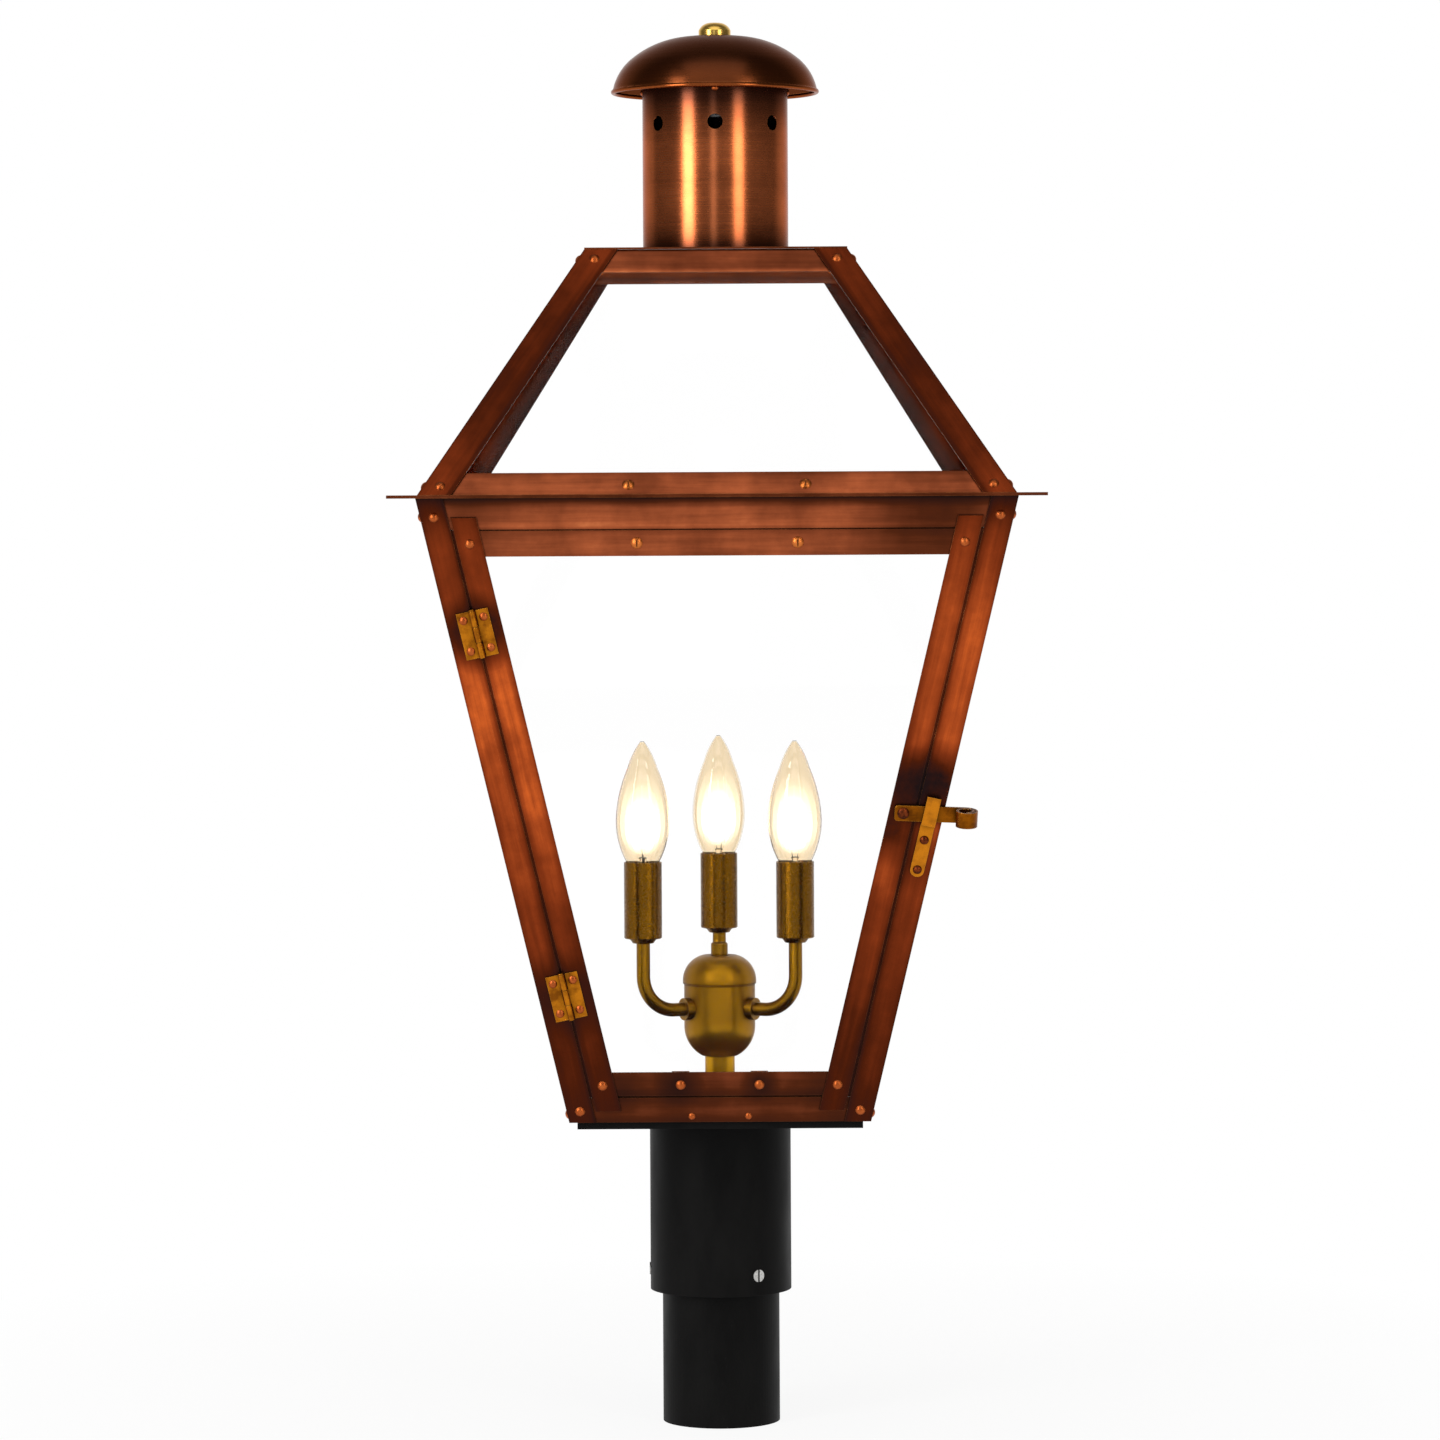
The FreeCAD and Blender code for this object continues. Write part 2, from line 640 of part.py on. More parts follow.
def make_sill(side):
    rise = FRONT_SILL_RISE if side == 0 else SIDE_SILL_RISE
    strip = cross_strip(BODY, -2.0, BODY.up(FLOOR_Z + rise), LAYER_2, FRAME_SHEET)
    rail = BODY.place(strip, side).common(slab(FLOOR_Z, BODY_TOP_Z))
    if side == 0:
        rail = fused([rail, rail_stop(FRONT_SILL_TOP - STOP_SEAT, FRONT_SILL_TOP + RAIL_STOP_REACH)])
    rail = drilled(rail, leg_drills(), HOLE_R)
    return drilled(rail, sill_drills(), SMALL_RIVET_R + HOLE_CLEARANCE)


def make_side_glass(side):
    return BODY.place(pane(BODY, SIDE_GLASS_BOTTOM, HEADER_GLASS_TOP, LAYER_3, GLASS_SIDE_INSET), side)


def make_frame_rivets():
    solids = []
    for face, side, x, y in leg_places():
        one = rivet(RIVET_HEAD_R, RIVET_HEAD, RIVET_R, 2.0 * FRAME_SHEET)
        solids.append(face.place(moved(one, x, y), side))
    for face, side, x, y in sill_rivet_places():
        grip = FRAME_SHEET * 2 + (CLIP_SHEET if side else 0.0)
        one = rivet(SMALL_RIVET_HEAD_R, SMALL_RIVET_HEAD, SMALL_RIVET_R, grip)
        solids.append(face.place(moved(one, x, y, LAYER_2), side))
    return solids


def make_frame_clips():
    solids = []
    glass_back = LAYER_3 - GLASS_THICK
    upper = glass_clip(HEADER_GLASS_TOP, -1, LAYER_3, glass_back)
    roof_clip = glass_clip(ROOF_GLASS_BOTTOM, 1, LAYER_3, glass_back)
    rim_foot = BODY.up(FLOOR_Z + FRAME_SHEET, -LAYER_4 + CLIP_SHEET) + RIM_CLIP_GAP
    rim_leg = SIDE_GLASS_BOTTOM - CLIP_EDGE_GAP - rim_foot
    lower = glass_clip(SIDE_GLASS_BOTTOM, 1, LAYER_4, glass_back, rim_leg)
    for side in range(4):
        for sign in (-1, 1):
            if side:
                solids.append(BODY.place(moved(upper, sign * RAIL_SCREW_AT, 0), side))
                solids.append(BODY.place(moved(lower, sign * SILL_RIVET_AT, 0), side))
            solids.append(ROOF.place(moved(roof_clip, sign * RAIL_SCREW_AT, 0), side))
    clips = []
    for solid in solids:
        one = drilled(solid, clip_drills(), HOLE_R)
        clips.append(drilled(one, sill_drills(), SMALL_RIVET_R + HOLE_CLEARANCE))
    return clips


def make_frame_screws():
    one = screw(FRAME_SHEET + CLIP_SHEET)
    return [face.place(moved(one, x, y, LAYER_2), side) for face, side, x, y in clip_screw_places()]


# ---- roof
def make_eave():
    plate = box((-EAVE_HALF, -EAVE_HALF, BODY_TOP_Z), (EAVE_HALF, EAVE_HALF, EAVE_TOP_Z))
    hole = box((-EAVE_OPENING_HALF, -EAVE_OPENING_HALF, 0), (EAVE_OPENING_HALF, EAVE_OPENING_HALF, FAR))
    return plate.cut(hole)


def make_hip(corner):
    return drilled(corner_angle(ROOF, corner, HIP_LEG, EAVE_TOP_Z, ROOF_TOP_Z), leg_drills(), HOLE_R)


def make_roof_rail(side):
    strip = ROOF.place(cross_strip(ROOF, -4.0, ROOF_RAIL, LAYER_2, FRAME_SHEET), 0)
    half = ROOF.edge(0, 0, 0) - 1.5 * FRAME_SHEET / ROOF.rise
    flange = level_flange(half, ROOF_FLANGE, EAVE_TOP_Z, FRAME_SHEET)
    inside = Part.makeLoft([square(ROOF, EAVE_TOP_Z, FRAME_SHEET), square(ROOF, ROOF_TOP_Z, FRAME_SHEET)],
                           True)
    rail = strip.fuse(flange).common(inside).removeSplitter()
    rail = polar(rail, 90.0 * side)
    rail = drilled(rail, leg_drills(), HOLE_R)
    return drilled(rail, clip_drills(), HOLE_R)


def make_top_pan():
    """The folded piece that closes the roof: a level top with four flanges turned down."""
    low = ROOF.up(ROOF_TOP_Z) - ROOF_RAIL
    top = box((-ROOF_TOP_HALF, -ROOF_TOP_HALF, ROOF_TOP_Z),
              (ROOF_TOP_HALF, ROOF_TOP_HALF, CHIMNEY_BASE_Z))
    inside = Part.makeLoft([square(ROOF, EAVE_TOP_Z, FRAME_SHEET), square(ROOF, ROOF_TOP_Z + 1, FRAME_SHEET)],
                           True)
    pieces = [top]
    for side in range(4):
        edge_low = ROOF.edge(low, 0, 0)
        high = low + ROOF_RAIL + 0.5 * FRAME_SHEET
        edge_high = ROOF.edge(high, 0, 0)
        points = [(-edge_low, low), (edge_low, low), (edge_high, high), (-edge_high, high)]
        flange = prism(points, FRAME_SHEET, LAYER_3)
        pieces.append(ROOF.place(flange, side).common(inside))
    pan = fused(pieces).cut(rod(CHIMNEY_R - CHIMNEY_SEAT, 0, FAR))
    return drilled(pan, leg_drills(), HOLE_R)


def make_roof_glass(side):
    return ROOF.place(pane(ROOF, ROOF_GLASS_BOTTOM, ROOF_GLASS_TOP, LAYER_3, GLASS_SIDE_INSET), side)


# ---- chimney
def make_chimney():
    tube = ring(CHIMNEY_R, CHIMNEY_R - CHIMNEY_WALL, CHIMNEY_BASE_Z, CHIMNEY_TOP_Z)
    for i in range(VENT_COUNT):
        angle = -90.0 + 360.0 / VENT_COUNT * i
        tube = tube.cut(along_x(rod(VENT_R, CHIMNEY_R - 8, CHIMNEY_R + 8), angle, VENT_Z))
    return bridge_drilled(tube)


def bridge_drilled(shape):
    drill = rod(SMALL_RIVET_R + HOLE_CLEARANCE, CHIMNEY_R - 8, CHIMNEY_R + 8)
    for side in range(4):
        shape = shape.cut(along_x(drill, 90.0 * side, CHIMNEY_TOP_Z - BRIDGE_RIVET_BELOW_TOP))
    return shape


def bridge_reach():
    """The bridge's tabs stop where their corners just clear the tube."""
    bore = CHIMNEY_R - CHIMNEY_WALL - 0.1
    return math.sqrt(bore * bore - (BRIDGE_WIDTH / 2.0) ** 2)


def make_bridge():
    """Two crossed straps with their ends turned up against the tube."""
    reach = bridge_reach()
    half = BRIDGE_WIDTH / 2.0
    pieces = [box((-reach, -half, BRIDGE_Z), (reach, half, BRIDGE_Z + BRIDGE_THICK)),
              box((-half, -reach, BRIDGE_Z), (half, reach, BRIDGE_Z + BRIDGE_THICK))]
    tab = box((reach - FRAME_SHEET, -half, BRIDGE_Z), (reach, half, CHIMNEY_TOP_Z - 1.0))
    for side in range(4):
        pieces.append(polar(tab, 90.0 * side))
    bridge = fused(pieces).cut(rod(BOLT_HOLE_R, 0, FAR))
    return bridge_drilled(bridge)


def make_bridge_rivets():
    grip = CHIMNEY_R - bridge_reach() + FRAME_SHEET
    one = moved(rivet(SMALL_RIVET_HEAD_R, SMALL_RIVET_HEAD, SMALL_RIVET_R, grip), 0, 0, CHIMNEY_R)
    return [along_x(one, 90.0 * side, CHIMNEY_TOP_Z - BRIDGE_RIVET_BELOW_TOP) for side in range(4)]


def cap_profile(inset):
    """Crown and shoulder arcs of the cap, from the flat top down to the rim."""
    rise = CAP_RISE
    rim = CAP_RIM_R
    crown_z = CAP_CROWN_Z - inset
    knee = (rim * 0.806 - 0.6 * inset, CAP_RIM_Z + rise * 0.615 - 0.8 * inset)
    crown_mid = (rim * 0.5 - 0.2 * inset, CAP_RIM_Z + rise * 0.922 - inset)
    shoulder = (rim * 0.944 - 0.9 * inset, CAP_RIM_Z + rise * 0.31 - 0.4 * inset)
    return [(CAP_FLAT_R, crown_z), crown_mid + knee, shoulder + (rim - inset, CAP_RIM_Z)]


def make_cap():
    outer = cap_profile(0.0)
    inner = cap_profile(CAP_SHEET)
    top, crown, side = outer
    low_top, low_crown, low_side = inner
    path = [(BOLT_HOLE_R, low_top[1]), (BOLT_HOLE_R, top[1]), top, crown, side,
            low_side[2:],
            low_side[:2] + low_crown[2:],
            low_crown[:2] + low_top]
    bead = Part.makeTorus(CAP_RIM_R - CAP_SHEET / 2, CAP_BEAD_R, Vector(0, 0, CAP_RIM_Z))
    return turned(path).fuse(bead)


def make_cap_bolt():
    head = prism(hexagon(CAP_BOLT_HEAD_R), CAP_BOLT_HEAD, BRIDGE_Z - CAP_BOLT_HEAD)
    return fused([head, rod(CAP_BOLT_R, BRIDGE_Z - 1, CAP_CROWN_Z + 0.6 * CAP_NUT_HEIGHT)])


def hexagon(radius):
    return [(radius * math.cos(math.radians(60 * i)), radius * math.sin(math.radians(60 * i)))
            for i in range(6)]


def make_cap_spacer():
    return ring(CAP_SPACER_R, BOLT_HOLE_R, BRIDGE_Z + BRIDGE_THICK, CAP_CROWN_Z - CAP_SHEET)


def make_cap_nut():
    low = CAP_CROWN_Z
    high = CAP_CROWN_Z + CAP_NUT_HEIGHT
    wall = low + 0.45 * CAP_NUT_HEIGHT
    bend = (CAP_NUT_R * 0.72, low + 0.86 * CAP_NUT_HEIGHT)
    flat = 0.15 * CAP_NUT_R
    body = turned([(0, low), (CAP_NUT_R, low), (CAP_NUT_R, wall), bend + (flat, high), (0, high)])
    return body.cut(rod(BOLT_HOLE_R, low - 1, low + 0.7 * CAP_NUT_HEIGHT))


# ---- lamp cluster
STEM_TOP_Z = CUP_BOTTOM_Z + STEM_IN_CUP
HOLDER_Z = SOCKET_BOTTOM_Z + SOCKET_FLOOR
BULB_BASE_Z = HOLDER_Z + HOLDER_FLOOR + BULB_CONTACT
BULB_GLASS_Z = BULB_BASE_Z + BULB_CAP_HEIGHT + BULB_COLLAR


def arm_angles():
    return [ARM_FIRST_ANGLE + 360.0 / ARM_COUNT * i for i in range(ARM_COUNT)]


def make_stem():
    return ring(STEM_R, STEM_BORE_R, STEM_FOOT_GAP, STEM_TOP_Z)


def make_locknut():
    low = FLOOR_Z + FRAME_SHEET
    nut = prism(hexagon(LOCKNUT_R), LOCKNUT_HEIGHT, low)
    return nut.cut(rod(STEM_R + HOLE_CLEARANCE, 0, low + 2 * LOCKNUT_HEIGHT))


def make_cup():
    hole = STEM_R + HOLE_CLEARANCE
    floor = CUP_BOTTOM_Z + 2.0
    mid_z = CUP_BOTTOM_Z + 0.36 * (CUP_SHOULDER_Z - CUP_BOTTOM_Z)
    mid_r = STEM_R + 0.72 * (CUP_R - STEM_R)
    path = [(hole, floor), (hole, CUP_BOTTOM_Z), (STEM_R + 1.8, CUP_BOTTOM_Z),
            (mid_r, mid_z, CUP_R, CUP_SHOULDER_Z), (CUP_R, CUP_TOP_Z), (CUP_R - CUP_WALL, CUP_TOP_Z),
            (CUP_R - CUP_WALL, CUP_SHOULDER_Z),
            (mid_r - CUP_WALL * 0.9, mid_z + CUP_WALL * 0.9, STEM_R + 1.8, floor)]
    cup = turned(path)
    for angle in arm_angles():
        cup = cup.cut(along_x(rod(ARM_R + HOLE_CLEARANCE, CUP_R - 8, CUP_R + 8), angle, ARM_Z))
    return cup


def make_cup_cap():
    top = CUP_TOP_Z + CUP_CAP_RISE
    wall = CUP_WALL
    mid = (CUP_CAP_R * 0.86, CUP_TOP_Z + 0.66 * CUP_CAP_RISE)
    rim = CUP_TOP_Z + 0.14 * CUP_CAP_RISE
    hole = 0.35 * FINIAL_R + HOLE_CLEARANCE
    path = [(hole, top - wall), (hole, top), (CUP_CAP_FLAT_R, top), mid + (CUP_CAP_R, rim),
            (CUP_CAP_R, CUP_TOP_Z), (CUP_CAP_R - wall, CUP_TOP_Z), (CUP_CAP_R - wall, rim),
            (mid[0] - 0.8 * wall, mid[1] - 0.8 * wall, CUP_CAP_FLAT_R, top - wall)]
    return turned(path)


def make_finial():
    low = CUP_TOP_Z + CUP_CAP_RISE
    high = low + FINIAL_HEIGHT
    edge = 0.8
    knob = turned([(0, low), (FINIAL_R, low), (FINIAL_R, high - edge), (FINIAL_R - edge, high), (0, high)])
    return fused([knob, rod(0.35 * FINIAL_R, low - 6, low + 1)])


def arm_tube(radius):
    """A straight run out of the cup, a quarter bend and a straight run up to the socket."""
    run_start = CUP_R - 4.0
    bend_x = ARM_REACH - ARM_BEND_R
    level = along_x(rod(radius, run_start, bend_x), 0, ARM_Z)
    bend = Part.makeTorus(ARM_BEND_R, radius, Vector(bend_x, 0, ARM_Z + ARM_BEND_R), Vector(0, 1, 0))
    corner = box((bend_x, -50, ARM_Z - 50), (ARM_REACH + 50, 50, ARM_Z + ARM_BEND_R))
    riser = moved(rod(radius, ARM_Z + ARM_BEND_R, HOLDER_Z + ARM_IN_HOLDER), ARM_REACH, 0)
    return level.fuse([bend.common(corner), riser])


def make_arm(angle):
    collar = along_x(rod(ARM_COLLAR_R, CUP_R - 4, CUP_R + ARM_COLLAR_LENGTH), 0, ARM_Z)
    collar = collar.cut(rod(CUP_R, 0, BODY_TOP_Z))
    arm = arm_tube(ARM_R).fuse(collar).cut(arm_tube(ARM_BORE_R))
    return polar(arm, angle)


def make_socket_cover(angle):
    inner = SOCKET_R - SOCKET_WALL
    hole = ARM_R + HOLE_CLEARANCE
    path = [(hole, SOCKET_BOTTOM_Z - SOCKET_NECK), (ARM_R + 2.4, SOCKET_BOTTOM_Z - SOCKET_NECK),
            (ARM_R + 4.6, SOCKET_BOTTOM_Z), (SOCKET_R - 0.6, SOCKET_BOTTOM_Z),
            (SOCKET_R, SOCKET_BOTTOM_Z + 0.6), (SOCKET_R, SOCKET_BOTTOM_Z + SOCKET_HEIGHT),
            (inner, SOCKET_BOTTOM_Z + SOCKET_HEIGHT), (inner, HOLDER_Z), (hole, HOLDER_Z)]
    return polar(moved(turned(path), ARM_REACH, 0), angle)


def make_lamp_holder(angle):
    """The insulating socket inside a cover, with the well that the bulb's cap screws into."""
    outer = SOCKET_R - SOCKET_WALL - HOLDER_GAP
    well = BULB_CAP_R + BULB_CAP_GAP
    body = ring(outer, well, HOLDER_Z, HOLDER_Z + LAMP_HOLDER_HEIGHT)
    floor = ring(outer, ARM_R + HOLE_CLEARANCE, HOLDER_Z, HOLDER_Z + HOLDER_FLOOR)
    return polar(moved(fused([body, floor]), ARM_REACH, 0), angle)


def make_bulb_cap(angle):
    low = BULB_BASE_Z
    contact = BULB_CAP_R * 0.45
    foot = low - BULB_CONTACT
    path = [(0, foot), (contact, foot), (contact, low + 1.0), (BULB_CAP_R, low + 3.0),
            (BULB_CAP_R, BULB_GLASS_Z), (0, BULB_GLASS_Z)]
    return polar(moved(turned(path), ARM_REACH, 0), angle)


def bulb_profile(inset):
    """Neck, belly and tip of the torpedo glass."""
    foot = BULB_GLASS_Z
    neck_z = foot + 0.22 * BULB_GLASS_HEIGHT
    belly_z = foot + BULB_WIDEST
    shoulder_z = foot + 0.83 * BULB_GLASS_HEIGHT
    return [(BULB_CAP_R - inset, foot), (BULB_NECK_R - inset, neck_z),
            (BULB_R * 0.88 - inset, neck_z + 0.45 * (belly_z - neck_z), BULB_R - inset, belly_z),
            (BULB_R * 0.86 - inset, belly_z + 0.55 * (shoulder_z - belly_z),
             BULB_R * 0.56 - inset, shoulder_z),
            (BULB_R * 0.33 - 0.7 * inset, foot + 0.93 * BULB_GLASS_HEIGHT - 0.6 * inset,
             BULB_TIP_R, foot + BULB_GLASS_HEIGHT - inset)]


def make_bulb(angle):
    outer = bulb_profile(0.0)
    inner = bulb_profile(BULB_WALL)
    foot, neck, belly, shoulder, tip = inner
    top = (0, outer[-1][3])
    path = list(outer) + [top, (0, tip[3]), tip[2:], tip[:2] + shoulder[2:],
                          shoulder[:2] + belly[2:], belly[:2] + neck, foot]
    return polar(moved(turned(path), ARM_REACH, 0), angle)


# ---- hinges, in their own frame: x across the joint, y along the pin, z out of the face
def hinge_line(z):
    """Where the pin's line crosses a height, in the front face's frame."""
    up = BODY.up(z)
    return (-BODY.edge(up, POST_LEG + DOOR_GAP / 2), up)


def place_hinge(shape, z):
    x, y = hinge_line(z)
    return BODY.place(moved(shape, x, y, 0, BODY.edge_turn), 0)


def hinge_rivet_spots():
    return [(HINGE_RIVET_OUT, sign * HINGE_RIVET_UP) for sign in (-1, 1)]


def hinge_drills(side):
    """Holes for one leaf's rivets: side is -1 for the frame leaf and +1 for the door leaf."""
    drills = []
    for z in HINGE_Z:
        for x, y in hinge_rivet_spots():
            drills.append((lambda shape, height=z: place_hinge(shape, height), side * x, y))
    return drills


def knuckle_spans(side):
    third = HINGE_HEIGHT / 3.0
    gap = KNUCKLE_GAP / 2.0
    if side > 0:
        return [(-third / 2 + gap, third / 2 - gap)]
    half = HINGE_HEIGHT / 2.0
    return [(-half, -third / 2 - gap), (third / 2 + gap, half)]


def along_y(radius, low, high):
    return Part.makeCylinder(radius, high - low, Vector(0, low, KNUCKLE_R + KNUCKLE_LIFT), Vector(0, 1, 0))


def make_leaf(side):
    """One leaf with its knuckles: side is -1 on the frame and +1 on the door."""
    half = HINGE_HEIGHT / 2.0
    near = KNUCKLE_R + 0.4
    sheet = box((near, -half, 0), (HINGE_HALF_WIDTH, half, HINGE_LEAF))
    if side < 0:
        sheet = box((-HINGE_HALF_WIDTH, -half, 0), (-near, half, HINGE_LEAF))
    pieces = [sheet]
    for low, high in knuckle_spans(side):
        if side > 0:
            pieces.append(box((0, low, 0), (near, high, HINGE_LEAF)))
        else:
            pieces.append(box((-near, low, 0), (0, high, HINGE_LEAF)))
        pieces.append(along_y(KNUCKLE_R, low, high))
    leaf = fused(pieces).cut(along_y(PIN_R + HOLE_CLEARANCE, -half - 1, half + 1))
    for x, y in hinge_rivet_spots():
        leaf = leaf.cut(moved(rod(SMALL_RIVET_R + HOLE_CLEARANCE, -5, 5), side * x, y))
    return leaf


def make_leaves(side):
    return [place_hinge(make_leaf(side), z) for z in HINGE_Z]


def make_pins():
    half = HINGE_HEIGHT / 2.0
    head = along_y(KNUCKLE_R * 0.9, half + 0.05, half + 1.2)
    pin = fused([along_y(PIN_R, -half, half + 0.5), head])
    return [place_hinge(pin, z) for z in HINGE_Z]


def make_hinge_rivets(side):
    sheet = FRAME_SHEET if side < 0 else DOOR_SHEET
    one = rivet(HINGE_RIVET_HEAD_R, SMALL_RIVET_HEAD, SMALL_RIVET_R, HINGE_LEAF + sheet, 0.4)
    solids = []
    for z in HINGE_Z:
        for x, y in hinge_rivet_spots():
            solids.append(place_hinge(moved(one, side * x, y, HINGE_LEAF), z))
    return solids


# ---- door
STILE_START = POST_LEG + DOOR_GAP
DOOR_LAYER_2 = -DOOR_SHEET
DOOR_LAYER_3 = -2.0 * DOOR_SHEET
DOOR_TOP = BODY.up(DOOR_TOP_Z)
DOOR_BOTTOM = BODY.up(DOOR_BOTTOM_Z)
DOOR_GLASS_TOP = DOOR_TOP - DOOR_TOP_RAIL + DOOR_GLASS_LAP
DOOR_GLASS_BOTTOM = DOOR_BOTTOM + DOOR_BOTTOM_RAIL - DOOR_GLASS_LAP
DOOR_TOP_FIX = DOOR_TOP - 0.5 * DOOR_TOP_RAIL
DOOR_BOTTOM_FIX = DOOR_BOTTOM + 0.45 * DOOR_BOTTOM_RAIL


def on_front(shape):
    return BODY.place(shape, 0)


def stile_middle(up):
    return BODY.edge(up, STILE_START + STILE_WIDTH / 2.0)


def door_corner_spots():
    return [(sign * stile_middle(up), up) for sign in (-1, 1) for up in (DOOR_TOP_FIX, DOOR_BOTTOM_FIX)]


def door_screw_spots():
    return [(sign * DOOR_SCREW_AT, DOOR_TOP_FIX) for sign in (-1, 1)]


def door_clip_rivet_spots():
    return [(sign * DOOR_RIVET_AT, DOOR_BOTTOM_FIX) for sign in (-1, 1)]


def door_drills():
    spots = door_corner_spots() + door_screw_spots() + door_clip_rivet_spots()
    return [(on_front, x, y) for x, y in spots]


def make_stile(sign):
    low = BODY.up(STILE_BOTTOM_Z)
    high = BODY.up(STILE_TOP_Z)
    strip = edge_strip(BODY, sign, low, high, STILE_WIDTH, DOOR_SHEET, STILE_START)
    stile = drilled(on_front(strip), door_drills(), HOLE_R)
    if sign < 0:
        return drilled(stile, hinge_drills(1), SMALL_RIVET_R + HOLE_CLEARANCE)
    return drilled(stile, [(on_front, latch_pivot()[0], latch_pivot()[1])], HOLE_R)


def make_door_rail(low, high):
    inset = STILE_START + DOOR_RAIL_END_GAP
    points = [(-BODY.edge(low, inset), low), (BODY.edge(low, inset), low),
              (BODY.edge(high, inset), high), (-BODY.edge(high, inset), high)]
    return drilled(on_front(prism(points, DOOR_SHEET, DOOR_LAYER_3)), door_drills(), HOLE_R)


def make_door_glass():
    inset = STILE_START + STILE_WIDTH - DOOR_GLASS_SIDE_LAP
    low = DOOR_GLASS_BOTTOM
    high = DOOR_GLASS_TOP
    points = [(-BODY.edge(low, inset), low), (BODY.edge(low, inset), low),
              (BODY.edge(high, inset), high), (-BODY.edge(high, inset), high)]
    return on_front(prism(points, GLASS_THICK, DOOR_LAYER_3 - GLASS_THICK))


def door_clip_leg(rail):
    return rail - DOOR_GLASS_LAP - CLIP_EDGE_GAP - DOOR_CLIP_SHORT


def make_door_clips():
    back = DOOR_LAYER_3 - GLASS_THICK
    upper = glass_clip(DOOR_GLASS_TOP, -1, DOOR_LAYER_3, back, door_clip_leg(DOOR_TOP_RAIL))
    lower = glass_clip(DOOR_GLASS_BOTTOM, 1, DOOR_LAYER_3, back, door_clip_leg(DOOR_BOTTOM_RAIL))
    solids = [on_front(moved(upper, x, 0)) for x, y in door_screw_spots()]
    solids += [on_front(moved(lower, x, 0)) for x, y in door_clip_rivet_spots()]
    return [drilled(solid, door_drills(), HOLE_R) for solid in solids]


def make_door_fasteners():
    grip = DOOR_SHEET + CLIP_SHEET
    corner = rivet(RIVET_HEAD_R, RIVET_HEAD, RIVET_R, 2 * DOOR_SHEET, 0.6)
    solids = [on_front(moved(corner, x, y)) for x, y in door_corner_spots()]
    solids += [on_front(moved(screw(grip), x, y, DOOR_LAYER_2)) for x, y in door_screw_spots()]
    small = rivet(RIVET_HEAD_R, RIVET_HEAD, RIVET_R, grip)
    solids += [on_front(moved(small, x, y, DOOR_LAYER_2)) for x, y in door_clip_rivet_spots()]
    return solids


# ---- latch
def latch_pivot():
    up = BODY.up(LATCH_Z)
    return (stile_middle(up) + LATCH_PIVOT_OUT, up)


def keeper_middle():
    """The middle of the hook on the corner post, level with the pivot."""
    up = BODY.up(LATCH_Z)
    return BODY.edge(up, POST_LEG / 2.0)


def scroll_strip(centre_x, centre_z, outer_r, thick, turns):
    """A strip rolled into a spiral about an upright axis, as half circles of shrinking radius."""
    radius = outer_r - thick
    pieces = []
    x = centre_x
    step = thick + 0.7
    upward = 1
    for i in range(int(turns * 2)):
        washer = Part.makeCylinder(radius + thick, LATCH_STRIP, Vector(x, -LATCH_STRIP / 2, centre_z),
                                   Vector(0, 1, 0))
        hole = Part.makeCylinder(radius, LATCH_STRIP, Vector(x, -LATCH_STRIP / 2, centre_z),
                                 Vector(0, 1, 0))
        if upward > 0:
            half = box((x, -LATCH_STRIP, centre_z - 40), (x + 40, LATCH_STRIP, centre_z + 40))
        else:
            half = box((x - 40, -LATCH_STRIP, centre_z - 40), (x, LATCH_STRIP, centre_z + 40))
        pieces.append(washer.cut(hole).common(half))
        radius -= step / 2.0
        centre_z += step / 2.0 * upward
        upward = -upward
    return pieces


def make_latch_arm():
    """A flat arm that hooks behind the keeper, with its free end rolled outwards."""
    half = LATCH_STRIP / 2.0
    low = LATCH_STAND_OFF
    nose = 1.2
    outline = [(-LATCH_TAIL, -half + nose), (-LATCH_TAIL + nose, -half), (LATCH_REACH + SCROLL_R, -half),
               (LATCH_REACH + SCROLL_R, half), (-LATCH_TAIL + nose, half), (-LATCH_TAIL, half - nose)]
    strip = prism(outline, LATCH_THICK, low)
    centre_x = LATCH_REACH + SCROLL_R
    roll = scroll_strip(centre_x, low + SCROLL_R, SCROLL_R, LATCH_THICK, 1.5)
    arm = strip.fuse(roll).removeSplitter()
    arm = arm.cut(rod(RIVET_R + HOLE_CLEARANCE, -1, 5))
    x, y = latch_pivot()
    return on_front(moved(arm, x, y, 0, -ARM_DROOP))


def make_latch_pivot():
    """The pivot rivet, with the washer that holds the arm off the stile."""
    top = LATCH_STAND_OFF + LATCH_THICK + 0.1
    head = moved(dome(RIVET_HEAD_R * 1.18, RIVET_HEAD * 1.1), 0, 0, top)
    washer = rod(RIVET_R * 2.0, 0, LATCH_STAND_OFF - 0.1)
    shank = rod(RIVET_R, -DOOR_SHEET - 0.6, top)
    tail = rod(RIVET_R * 1.5, -DOOR_SHEET - 0.6, -DOOR_SHEET)
    x, y = latch_pivot()
    return on_front(moved(fused([head, washer, shank, tail]), x, y))


def place_keeper(shape):
    up = BODY.up(LATCH_Z)
    return on_front(moved(shape, keeper_middle(), up, 0, -BODY.edge_turn))


def keeper_seat():
    """The top of the hook's foot, just below the arm where it slants past."""
    slant = math.radians(BODY.edge_turn - ARM_DROOP)
    half_arm = LATCH_STRIP / 2.0 / math.cos(slant)
    sink = (keeper_middle() - latch_pivot()[0]) * math.tan(math.radians(ARM_DROOP))
    sink = sink / math.cos(math.radians(BODY.edge_turn))
    return -half_arm - KEEPER_WIDTH / 2.0 * math.tan(slant) - sink - KEEPER_LIFT


def keeper_drills():
    seat = keeper_seat()
    return [(place_keeper, 0, seat - down) for down in KEEPER_HOLES]


